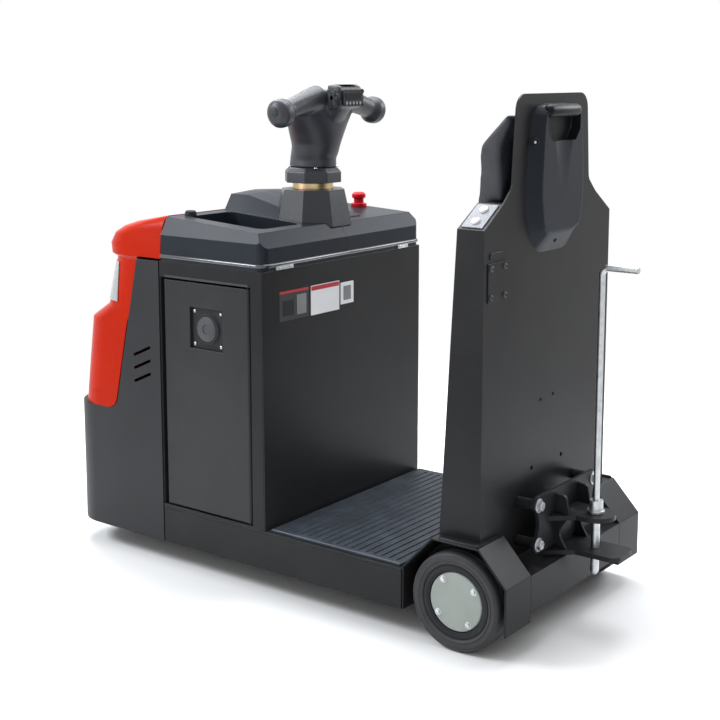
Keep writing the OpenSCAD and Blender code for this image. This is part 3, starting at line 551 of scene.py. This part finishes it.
def carved(blank, cutters):
    """A mesh with other closed meshes cut out of it."""
    made = []
    for part in [blank, *cutters]:
        bmesh.ops.recalc_face_normals(part, faces=part.faces)
        mesh = bpy.data.meshes.new("carving")
        part.to_mesh(mesh)
        part.free()
        made.append(bpy.data.objects.new("carving", mesh))
        bpy.context.scene.collection.objects.link(made[-1])
    for cutter in made[1:]:
        cut = made[0].modifiers.new("cut", "BOOLEAN")
        cut.operation = "DIFFERENCE"
        cut.solver = "EXACT"
        cut.object = cutter
    edge = made[0].modifiers.new("edge", "BEVEL")
    edge.width = 0.0025
    edge.segments = 2
    edge.limit_method = "ANGLE"
    edge.angle_limit = math.radians(40)
    graph = bpy.context.evaluated_depsgraph_get()
    result = bpy.data.meshes.new_from_object(made[0].evaluated_get(graph))
    for obj in made:
        bpy.data.objects.remove(obj)
    out = bmesh.new()
    out.from_mesh(result)
    bpy.data.meshes.remove(result)
    return out


def fused(name, sources, voxel, rounds, bm):
    """A new mesh that runs several solids and the forms already in bm into one rounded form."""
    for source in sources:
        bm.from_mesh(NODES[source].data)
    bmesh.ops.remove_doubles(bm, verts=bm.verts, dist=0.00002)
    mesh = bpy.data.meshes.new(name + "_rough")
    bm.to_mesh(mesh)
    bm.free()
    rough = bpy.data.objects.new(name + "_rough", mesh)
    bpy.context.scene.collection.objects.link(rough)
    remesh = rough.modifiers.new("remesh", "REMESH")
    remesh.mode = "VOXEL"
    remesh.voxel_size = voxel / 1000
    relax = rough.modifiers.new("relax", "SMOOTH")
    relax.factor = 0.5
    relax.iterations = rounds
    graph = bpy.context.evaluated_depsgraph_get()
    made = bpy.data.meshes.new_from_object(rough.evaluated_get(graph))
    bpy.data.objects.remove(rough)
    out = bmesh.new()
    out.from_mesh(made)
    bpy.data.meshes.remove(made)
    return out


# Rear wheels: tyre with bead, sidewall ring and tread groove, and bolts in the cover disc

AXLE_Z = 125.0
WHEEL_IN_Y = 277.0
TYRE_WIDTH = 80.0
# Half of the tyre's section: radius and depth from its side
TYRE_HALF = [
    (93.0, 8.0), (94.5, 5.0), (97.5, 3.0), (101.0, 2.2), (102.0, 3.4), (103.6, 3.4), (104.6, 2.0),
    (110.0, 1.0), (114.0, 0.6), (115.0, 1.6), (116.6, 1.6), (117.4, 0.9), (120.5, 2.6), (123.0, 5.6),
    (124.4, 9.4), (125.0, 13.5), (125.0, 24.0), (123.4, 25.4), (123.4, 28.6), (125.0, 30.0), (125.0, 40.0),
]
RIM_RING = [(79, 71), (81, 74.5), (86, 75.5), (91, 74.0), (92.6, 71), (79, 71)]
DISC_FACE = 71.6
DISC_BOLT_R = 62.0
DISC_BOLT_ANGLES = (54, 144, 234, 324)


def rear_wheel(side, hand):
    body = side + "_wheel"
    centre = at(0, hand * WHEEL_IN_Y, AXLE_Z)
    outward = (0, hand, 0)
    whole = TYRE_HALF + [(r, TYRE_WIDTH - y) for r, y in reversed(TYRE_HALF[:-1])]
    bm = bmesh.new()
    turned(bm, whole + [whole[0]], centre, outward, 96)
    tyre = piece("tyre_rubber_" + side, bm, "tyre_rubber", body, crease=40)
    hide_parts("tyre_" + side)
    bm = bmesh.new()
    face = at(0, hand * (WHEEL_IN_Y + DISC_FACE), AXLE_Z)
    for angle in DISC_BOLT_ANGLES:
        a = math.radians(angle)
        spot = face + Vector((math.cos(a), 0, math.sin(a))) * (DISC_BOLT_R / 1000)
        hex_bolt(bm, spot, outward, 6.2, a)
    piece("disc_bolts_" + side, bm, "zinc_steel", body)
    bm = bmesh.new()
    turned(bm, RIM_RING, centre, outward, 72)
    piece("rim_ring_" + side, bm, "rim_paint", body)


for side, hand in SIDES.items():
    rear_wheel(side, hand)


# Steering handle: stem, crossbar and head run into one moulded form, with controls on the head

HANDLE_SOLIDS = ["handle_neck", "handle_bar", "handle_head"]
HANDLE_VOXEL = 3.0
HANDLE_ROUNDS = 14
# Height, middle X, half depth and half width of the oval sections by which the neck flares into the bar
NECK_FLARE = [
    (1138, 716, 57, 57), (1165, 710, 66, 63), (1195, 706, 71, 67), (1228, 703, 75, 84),
    (1250, 700, 74, 99), (1272, 692, 67, 113), (1298, 674, 48, 122),
]
BAR_X = 660.0
BAR_HALF = 235.0
BAR_DROP = 36.0
GRIP_END_Z = 1289.0
GRIP_CAP = [(13, -6), (13, 2.5), (10.5, 4.2), (0, 4.8)]
HEAD_X = 600.0
HEAD_Z = 1324.0
HEAD_REAR_X = 576.5
HEAD_TOP_Z = 1359.5
BEZEL_T = 2.4
BUTTON = [(4.4, 0), (4.4, 1.4), (3.6, 2.2), (0, 2.4)]
BUTTON_PITCH = 15.0
THUMB_WHEEL = [(19, -4), (19, 7), (16.5, 11), (10, 13), (0, 13.5)]
FLANGE_TOP_Z = 1128.6
SCREW_CIRCLE_R = 70.0


def neck_flare():
    bm = bmesh.new()
    angles = [2 * math.pi * k / 48 for k in range(48)]
    lofted(bm, [
        [at(x + deep * math.cos(a), wide * math.sin(a), z) for a in angles] for z, x, deep, wide in NECK_FLARE
    ])
    return bm


def grip_cap(side, hand):
    tilt = math.atan2(BAR_DROP, BAR_HALF)
    out = Vector((0, hand * math.cos(tilt), -math.sin(tilt)))
    bm = bmesh.new()
    turned(bm, GRIP_CAP, at(BAR_X, hand * (BAR_HALF - 3), GRIP_END_Z), out, 24)
    piece("grip_cap_" + side, bm, "grip_rubber", "handle")


def head_controls():
    """Bezels, a row of buttons, a dark window, and a thumb wheel on each side of the head."""
    face_x = HEAD_REAR_X - BEZEL_T
    bm = bmesh.new()
    plate(bm, at(HEAD_REAR_X, 0, HEAD_Z), *REARWARD, (88, 44), BEZEL_T, 8, 1.0)
    plate(bm, at(HEAD_X + 1, 0, HEAD_TOP_Z), (0, 1, 0), (-1, 0, 0), (70, 34), 0.9, 6, 0.4)
    piece("head_bezel", bm, "socket_plastic", "handle")
    bm = bmesh.new()
    for k in (-2, -1, 0, 1, 2):
        turned(bm, BUTTON, at(face_x, k * BUTTON_PITCH, HEAD_Z - 14), (-1, 0, 0), 20)
    piece("head_buttons", bm, "jog_plate", "handle")
    bm = bmesh.new()
    plate(bm, at(face_x, 0, HEAD_Z + 5), *REARWARD, (70, 18), 1.0, 4, 0.4)
    piece("head_window", bm, "lamp_lens", "handle", DARK_WINDOW)
    for side, hand in SIDES.items():
        bm = bmesh.new()
        turned(bm, THUMB_WHEEL, at(HEAD_X, hand * 50, HEAD_Z), (0, hand, 0), 28)
        for turn in (-0.5, 0.5):
            up = Vector((math.sin(turn), 0, math.cos(turn)))
            across = up.cross((0, hand, 0))
            plate(bm, at(HEAD_X, hand * 60, HEAD_Z), across, up, (12, 52), 4.5, 5, 1.2)
        piece("thumb_wheel_" + side, bm, "grip_rubber", "handle")


handle_mesh = fused("handle_form", HANDLE_SOLIDS, HANDLE_VOXEL, HANDLE_ROUNDS, neck_flare())
handle_form = piece("handle_form", handle_mesh, "handle_plastic", "handle", crease=75)
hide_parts(*HANDLE_SOLIDS)
for side, hand in SIDES.items():
    grip_cap(side, hand)
head_controls()

bm = bmesh.new()
for angle in (45, 135, 225, 315):
    a = math.radians(angle)
    spot = at(STEER_X + SCREW_CIRCLE_R * math.cos(a), SCREW_CIRCLE_R * math.sin(a), FLANGE_TOP_Z)
    dome_screw(bm, spot, (0, 0, 1), 5.4)
piece("flange_screws", bm, "zinc_steel", "handle")


# Blank labels on the cabinet's wall, clips under the top hood's edge and the hood's latch

LABEL_T = 0.5
# Name, place across, height, size, finish, slot, and how many labels it lies on
LABELS = [
    ("label_dark", 233, 778, (122, 80), LABEL_DARK, "jog_button", 0),
    ("label_dark_header", 233, 815, (122, 7), LABEL_RED, "jog_button", 1),
    ("label_dark_field_a", 202, 776, (40, 54), LABEL_GREY, "jog_button", 1),
    ("label_dark_field_b", 258, 772, (46, 42), FINISHES["socket_plastic"], "socket_plastic", 1),
    ("label_pale", 99, 778, (126, 82), LABEL_WHITE, "jog_button", 0),
    ("label_pale_header", 99, 811, (122, 12), LABEL_RED, "jog_button", 1),
    ("label_small", 0, 780, (60, 62), LABEL_WHITE, "jog_button", 0),
    ("label_small_field", 0, 780, (34, 40), LABEL_GREY, "jog_button", 1),
]
for name, y, z, size, finish, slot, below in LABELS:
    bm = bmesh.new()
    plate(bm, at(WALL_X - below * LABEL_T, y, z), *REARWARD, size, LABEL_T, 2.0, 0.15)
    piece(name, bm, slot, "chassis", finish)

CLIP_Z = 884.0
CLIP_T = 3.2
CLIPS = [(272, 70), (-270, 52)]
bm = bmesh.new()
for y, width in CLIPS:
    plate(bm, at(WALL_X, y, CLIP_Z), *REARWARD, (width, 11), CLIP_T, 3, 1)
    for shift in (-0.32, 0.32):
        dome_screw(bm, at(WALL_X - CLIP_T, y + shift * width, CLIP_Z), (-1, 0, 0), 3.4)
piece("hood_clips", bm, "zinc_steel", "chassis")

LATCH_AT = at(946, 262, 998)
LATCH = [(17, -2), (17, 5), (15.5, 8), (15.5, 11), (12, 14), (0, 15)]
bm = bmesh.new()
turned(bm, LATCH, LATCH_AT, (0, 0, 1), 32)
piece("hood_latch", bm, "socket_plastic", "chassis")


# Back rest: bolts of the cover plate, grommet strip and screws

COVER_PLATE_T = 3.0
COVER_BOLTS = [(y, z) for y in (229, 291) for z in (869, 938)]
GROMMET_AT = at(REST_X, 260, 966)
REAR_SCREWS = [(36, 574), (-28, 577)]

bm = bmesh.new()
for y, z in COVER_BOLTS:
    dome_screw(bm, at(REST_X - COVER_PLATE_T, y, z), (-1, 0, 0), 8.2)
piece("cover_plate_bolts", bm, "coupling_steel", "chassis", FINISHES["drive_casting"])

bm = bmesh.new()
plate(bm, GROMMET_AT, *REARWARD, (74, 18), 2.4, 8, 1)
piece("grommet_strip", bm, "body_paint", "chassis")

bm = bmesh.new()
for y, z in REAR_SCREWS:
    dome_screw(bm, at(REST_X, y, z), (-1, 0, 0), 4.5)
piece("rear_screws", bm, "coupling_steel", "chassis")


# Tray cover on the back rest: faceted shell with a pocket, a roll above it and a shallow scoop below

NECK_Z = 1343.0
COVER_DEPTH = 31.0
COVER_FACE_X = REST_X - COVER_DEPTH
# Left half of each outline: place across and height from the neck's top
COVER_FOOT = [(77, -391), (119, -331), (140, -240), (107, -24)]
COVER_FACE = [(62, -338), (92, -326), (108, -240), (92, -28)]
POCKET = [(83, -50), (82, -90), (60, -116)]
POCKET_MIDDLE = -84
# Share of the way from foot to face and share of the depth
COVER_RINGS = [(0.0, 0.0), (0.8, 0.8), (0.92, 0.91), (1.02, 0.97), (1.14, 1.0)]
# Depth under the face and scale of the outline
POCKET_RINGS = [(-12, 1.0), (4, 1.0), (22, 0.95), (26, 0.88)]
CORNER_CUT = 0.14
SCOOP_R = 150.0
SCOOP_H = 142.0
SCOOP_AT = at(COVER_FACE_X - 143, 0, NECK_Z - 104)
SCOOP_AIM = (-0.05, 0, -1)
ROLL_R = 16.0
ROLL_PATH = [at(COVER_FACE_X + 7, y, NECK_Z - 42) for y in (-66, 0, 66)]
LOCK = at(-62, 114, NECK_Z - 116)
LOCK_AIM = (-0.58, 0.81, 0)
LOCK_RING = [(11, -3), (11, 2), (9.5, 3.2), (7, 3.2), (6.6, 1.0), (0, 0.9)]
LOCK_PLUG = [(3.6, 0.8), (3.6, 2.4), (2.6, 3.4), (0, 3.7)]
FOOT_SCREW = [(5, -3), (5, 1.2), (3.8, 2.0), (0, 2.2)]
FOOT_SCREW_AT = at(-65, 8, NECK_Z - 365)
FOOT_SCREW_AIM = (-0.86, 0, -0.5)


def both_halves(points):
    return points + [(-y, z) for y, z in reversed(points)]


def rounded_outline(points):
    """A whole outline with its corners cut round."""
    line = both_halves(points)
    near, far = 1 - CORNER_CUT, CORNER_CUT
    for _ in range(3):
        cut = []
        for (y0, z0), (y1, z1) in zip(line, line[1:] + line[:1]):
            cut.append((near * y0 + far * y1, near * z0 + far * z1))
            cut.append((far * y0 + near * y1, far * z0 + near * z1))
        line = cut
    return line


def cover_blank():
    pairs = list(zip(rounded_outline(COVER_FOOT), rounded_outline(COVER_FACE)))
    blank = bmesh.new()
    lofted(blank, [
        [
            at(REST_X - depth * COVER_DEPTH, y0 + (y1 - y0) * share, NECK_Z + z0 + (z1 - z0) * share)
            for (y0, z0), (y1, z1) in pairs
        ]
        for share, depth in COVER_RINGS
    ])
    return blank


def cover_pocket():
    pocket = bmesh.new()
    lofted(pocket, [
        [
            at(COVER_FACE_X + depth, y * scale, NECK_Z + POCKET_MIDDLE + (z - POCKET_MIDDLE) * scale)
            for y, z in both_halves(POCKET)
        ]
        for depth, scale in POCKET_RINGS
    ])
    return pocket


def in_pocket(spot):
    wide, top = POCKET[0]
    low, high = NECK_Z + POCKET[-1][1] - 1, NECK_Z + top + 1
    deep = spot.x > at(COVER_FACE_X + 1.5, 0, 0).x
    return deep and abs(spot.y) < (wide + 1) / 1000 and low / 1000 < spot.z < high / 1000


def tray_cover():
    scoop = bmesh.new()
    profile = [(0, 0), (SCOOP_R, 0), (SCOOP_R, SCOOP_H), (0, SCOOP_H)]
    turned(scoop, profile, SCOOP_AT, SCOOP_AIM, 220)
    form = carved(cover_blank(), [cover_pocket(), scoop])
    # The pocket's inner faces take the near-black finish: painted shade inside the pocket
    for face in form.faces:
        if in_pocket(face.calc_center_median()):
            face.material_index = 1
    cover = piece("tray_cover", form, "hood_plastic", "chassis", crease=50)
    cover.data.materials.append(POCKET_SHADE)
    normals = cover.modifiers.new("normals", "WEIGHTED_NORMAL")
    normals.weight = 80
    normals.keep_sharp = True
    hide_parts("rear_tray")
    # The roll takes the same near-black finish: painted shade, darker than the cover's own plastic
    bm = bmesh.new()
    tube(bm, ROLL_PATH, ROLL_R, 32)
    piece("tray_roll", bm, "hood_plastic", "chassis", POCKET_SHADE)
    bm = bmesh.new()
    turned(bm, LOCK_RING, LOCK, LOCK_AIM, 28)
    turned(bm, FOOT_SCREW, FOOT_SCREW_AT, FOOT_SCREW_AIM, 20)
    piece("tray_lock", bm, "socket_plastic", "chassis")
    bm = bmesh.new()
    turned(bm, LOCK_PLUG, LOCK, LOCK_AIM, 16)
    piece("tray_lock_plug", bm, "zinc_steel", "chassis")


tray_cover()


# Coupling: bolts with washers on dark spacers

SPACER_H = 51.0
SPACER = [(10.5, 0), (13.4, 1.5), (13.4, SPACER_H - 1.5), (10.5, SPACER_H)]
FLANGE_T = 10.0
BOLT_SPOTS = [(y, z) for y in (145, -145) for z in (235, 335)]

bm = bmesh.new()
for y, z in BOLT_SPOTS:
    turned(bm, SPACER, at(REST_X, y, z), (-1, 0, 0), 24)
for face in bm.faces:
    face.material_index = 1
# Each head is turned to an angle of its own
for y, z in BOLT_SPOTS:
    hex_bolt(bm, at(REST_X - SPACER_H - FLANGE_T, y, z), (-1, 0, 0), 12.5, 0.3 + y * z)
bolt_slot = SLOT_OF["coupling_bolts"]
coupling_set = piece("coupling_bolt_set", bm, bolt_slot, "chassis", FINISHES["machined_steel"])
coupling_set.data.materials.append(FINISHES["coupling_steel"])
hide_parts("coupling_bolts")


# Trim: bead along the top hood's lower edge, a near-black strip above the door as painted shadow in its top
# gap, lips on the fenders, pale strips on the mat's edges as painted highlights

LIP_Z = 893.0
LIP_R = 6.0
LIP_FRONT_X = 966.0
LIP_CORNER_X = 621.0
LIP_CORNER_Y = 336.0
LIP_CORNER_R = 22.5
# Height above the door's top of the near-black strip that paints the shadow in the door's gap
SHADOW_STRIP_RISE = 9.5
FENDER_LIP_R = 5.0
FENDER_LIP_Z = 276.0
FENDER_LIP_X = (44, 0, -58)
MAT_STRIP_IN = 3.0

bm = bmesh.new()
for hand in SIDES.values():
    path = [at(LIP_FRONT_X, hand * (LIP_CORNER_Y + LIP_CORNER_R), LIP_Z)]
    for k in range(7):
        a = math.radians(90 + 15 * k)
        y = LIP_CORNER_Y + LIP_CORNER_R * math.sin(a)
        path.append(at(LIP_CORNER_X + LIP_CORNER_R * math.cos(a), hand * y, LIP_Z))
    path.append(at(LIP_CORNER_X - LIP_CORNER_R, hand * 3, LIP_Z))
    tube(bm, path, LIP_R, 20)
piece("hood_lip", bm, "hood_plastic", "chassis", LIP_GLOSS)

# Near-black rubber strip above the door: painted shadow, standing in for a deeper gap at the door's top
low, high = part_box("battery_door")
length = (high.x - low.x) * 1000 - 4
bm = bmesh.new()
middle = Vector(((low.x + high.x) / 2, SIDE_Y / 1000, high.z + SHADOW_STRIP_RISE / 1000))
plate(bm, middle, (-1, 0, 0), (0, 0, 1), (length, 6.5), 1.2, 2, 0.4)
piece("door_gap_shadow_strip", bm, "grip_rubber", "chassis", FINISHES["tyre_rubber"])

bm = bmesh.new()
for hand in SIDES.values():
    tube(bm, [at(x, hand * (SIDE_Y - 10), FENDER_LIP_Z) for x in FENDER_LIP_X], FENDER_LIP_R, 16)
piece("fender_lips", bm, "coupling_steel", "chassis")

# Pale strips along the mat's long edges: painted highlights where the mat's edges catch the light
low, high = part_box("platform_mat")
length = (high.x - low.x) * 1000 - 6
bm = bmesh.new()
for y in (low.y + MAT_STRIP_IN / 1000, high.y - MAT_STRIP_IN / 1000):
    spot = Vector(((low.x + high.x) / 2, y, high.z))
    plate(bm, spot, (1, 0, 0), (0, 1, 0), (length, 4), 1.2, 1.5, 0.5)
piece("mat_edge_highlight_strips", bm, "mat_rubber", "chassis", MAT_EDGE_HIGHLIGHT)


# Charging socket: screws in its corners and a capped connector

SOCKET_X = 802.0
SOCKET_Z = 705.0
SOCKET_FACE_Y = 352.0
SOCKET = at(SOCKET_X, SOCKET_FACE_Y - 3, SOCKET_Z)
SOCKET_SCREWS = [(x, z) for x in (-48, 48) for z in (-45, 45)]
PLUG = [(43, -6), (43, 4), (41, 6.5), (35, 7), (34, 9.5), (31, 11), (13, 11.5), (12, 9.5), (0, 9.2)]
NOTCH_R = 38.0

bm = bmesh.new()
for x, z in SOCKET_SCREWS:
    dome_screw(bm, at(SOCKET_X + x, SOCKET_FACE_Y, SOCKET_Z + z), (0, 1, 0), 4.6)
piece("socket_screws", bm, "zinc_steel", "door")

bm = bmesh.new()
turned(bm, PLUG, SOCKET, (0, 1, 0), 40)
for k in range(8):
    a = math.radians(22.5 + 45 * k)
    arm = Vector((math.cos(a), 0, math.sin(a)))
    spot = SOCKET + arm * (NOTCH_R / 1000) + Vector((0, 0.0062, 0))
    plate(bm, spot, arm.cross((0, -1, 0)), arm, (7, 6), 3.0, 1.4, 0.6)
piece("charge_plug", bm, "socket_plastic", "door", PLUG_GREY)


# Back pad: foam with a moulded skin, swollen by a cloth simulation from a slightly smaller block

PAD_VOXEL = 0.006
PAD_ROUNDS = 16
PAD_SWELL = 0.006
SWELL_FRAMES = 20
# Scale of the block that is swollen, and how far its back lies in front of the back rest's rear face
PAD_BLOCK = Vector((0.93, 0.98, 0.985))
PAD_FOOT = 5.4


def swollen_pad():
    bm = bmesh.new()
    bm.from_mesh(NODES["backrest_pad"].data)
    bmesh.ops.remove_doubles(bm, verts=bm.verts, dist=0.00002)
    middle = sum((v.co for v in bm.verts), Vector()) / len(bm.verts)
    for v in bm.verts:
        v.co = middle + (v.co - middle) * PAD_BLOCK
    mesh = bpy.data.meshes.new("pad_block")
    bm.to_mesh(mesh)
    bm.free()
    block = bpy.data.objects.new("pad_block", mesh)
    bpy.context.scene.collection.objects.link(block)
    remesh = block.modifiers.new("remesh", "REMESH")
    remesh.mode = "VOXEL"
    remesh.voxel_size = PAD_VOXEL
    relax = block.modifiers.new("relax", "SMOOTH")
    relax.iterations = PAD_ROUNDS
    graph = bpy.context.evaluated_depsgraph_get()
    start = bpy.data.meshes.new_from_object(block.evaluated_get(graph))
    bpy.data.objects.remove(block)
    pad = bpy.data.objects.new("back_pad", start)
    bpy.context.scene.collection.objects.link(pad)
    rest = [v.co.copy() for v in start.vertices]
    cloth = pad.modifiers.new("swell", "CLOTH")
    cloth.settings.use_pressure = True
    cloth.settings.uniform_pressure_force = 4.0
    cloth.settings.effector_weights.gravity = 0.0
    cloth.settings.tension_stiffness = 18.0
    cloth.settings.compression_stiffness = 18.0
    cloth.settings.bending_stiffness = 4.0
    for moment in range(1, SWELL_FRAMES + 1):
        bpy.context.scene.frame_set(moment)
    graph = bpy.context.evaluated_depsgraph_get()
    blown = pad.evaluated_get(graph).to_mesh()
    moved = [v.co.copy() for v in blown.vertices]
    pad.evaluated_get(graph).to_mesh_clear()
    pad.modifiers.remove(cloth)
    bpy.context.scene.frame_set(1)
    for vertex, old, new in zip(start.vertices, rest, moved):
        step = new - old
        vertex.co = old + step * min(1.0, PAD_SWELL / max(step.length, 1e-9))
    lo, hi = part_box("backrest_pad")
    foot = at(REST_X + PAD_FOOT, 0, 0).x
    for vertex in start.vertices:
        vertex.co.x = max(vertex.co.x, foot)
        vertex.co.y = min(max(vertex.co.y, lo.y), hi.y)
        vertex.co.z = min(max(vertex.co.z, lo.z), hi.z)
    start.polygons.foreach_set("use_smooth", [True] * len(start.polygons))
    start.materials.clear()
    start.materials.append(FINISHES["pad_skin"])
    finer = pad.modifiers.new("finer", "SUBSURF")
    finer.levels = finer.render_levels = 1
    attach(pad, "chassis")
    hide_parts("backrest_pad")


swollen_pad()


# Studio

CAMERA_AT = Vector((-2.2015, 2.946, 1.393))
CAMERA_YAW = math.radians(-53.109)
CAMERA_PITCH = math.radians(8.593)
CAMERA_LENS = 66.695
CAMERA_SHIFT = -0.1194

camera_data = bpy.data.cameras.new("camera")
camera_data.sensor_width = 36.0
camera_data.lens = CAMERA_LENS
camera_data.shift_y = CAMERA_SHIFT
camera = bpy.data.objects.new("camera", camera_data)
bpy.context.scene.collection.objects.link(camera)
look = Vector((
    math.cos(CAMERA_YAW) * math.cos(CAMERA_PITCH),
    math.sin(CAMERA_YAW) * math.cos(CAMERA_PITCH),
    -math.sin(CAMERA_PITCH),
))
camera.location = CAMERA_AT
camera.rotation_euler = look.to_track_quat("-Z", "Y").to_euler()
bpy.context.scene.camera = camera


def softbox(name, place, aim, size, power, colour):
    data = bpy.data.lights.new(name, "AREA")
    data.shape = "RECTANGLE"
    data.size, data.size_y = size
    data.energy = power
    data.color = colour
    lamp = bpy.data.objects.new(name, data)
    bpy.context.scene.collection.objects.link(lamp)
    lamp.location = place
    lamp.rotation_euler = (Vector(aim) - Vector(place)).to_track_quat("-Z", "Y").to_euler()


# Name, place, aim, size, power and colour
SOFTBOXES = [
    ("top_softbox", (0.4, -0.8, 3.8), (0, 0, 0.4), (3.0, 2.4), 160, (0.93, 0.96, 1.0)),
    ("key_softbox", (2.7, 2.6, 3.3), (0, 0, 0.8), (1.8, 1.2), 140, (0.92, 0.96, 1.0)),
    ("rim_softbox", (-1.8, -3.35, 2.75), (-0.3, 0, 0.7), (2.2, 1.5), 75, (0.93, 0.96, 1.0)),
    ("side_softbox", (2.5, 3.9, 1.5), (0, 0.3, 0.7), (2.2, 1.5), 30, (0.97, 0.98, 1.0)),
    ("deck_softbox", (2.0, -0.8, 3.2), (0, 0.1, 1.0), (1.3, 1.0), 45, (0.92, 0.96, 1.0)),
]
for row in SOFTBOXES:
    softbox(*row)


def studio_world():
    """White where the camera, mirrors and glass see it, a soft dome of light for everything else."""
    world = bpy.data.worlds.new("studio")
    bpy.context.scene.world = world
    f = Finish("studio", world, "Generated")
    dome = 0.2 + f.axis("Z").rise(0.0, 0.8) * 0.5
    white = f.node("ShaderNodeLightPath", out="Is Camera Ray")
    for ray in ("Is Glossy Ray", "Is Transmission Ray"):
        white = white.math("MAXIMUM", f.node("ShaderNodeLightPath", out=ray))
    strength = white + (1 - white) * dome
    glow = f.node("ShaderNodeBackground", None, {"Color": rgb(1, 1, 1), "Strength": strength})
    f.finish_with(glow, "ShaderNodeOutputWorld")


studio_world()


FLOOR_REACH = 40.0


def studio_floor():
    """Pale paper around the tractor that runs into white."""
    mesh = bpy.data.meshes.new("studio_floor")
    corners = [(x * FLOOR_REACH, y * FLOOR_REACH, 0) for x, y in ((-1, -1), (1, -1), (1, 1), (-1, 1))]
    mesh.from_pydata(corners, [], [(0, 1, 2, 3)])
    floor = bpy.data.objects.new("studio_floor", mesh)
    bpy.context.scene.collection.objects.link(floor)
    f = Finish("studio_floor")
    paper = f.node("ShaderNodeBsdfDiffuse", None, {"Color": rgb(0.93, 0.93, 0.93)})
    white = f.node("ShaderNodeEmission", None, {"Color": rgb(1, 1, 1), "Strength": 1.0})
    distance = f.node("ShaderNodeVectorMath", {"operation": "LENGTH"}, {0: f.place}, "Value")
    far = distance.rise(1.5, 3.2)
    f.finish_with(f.node("ShaderNodeMixShader", None, {0: far, 1: paper, 2: white}))
    mesh.materials.append(f.material)


studio_floor()

bpy.context.scene.view_settings.view_transform = "Standard"
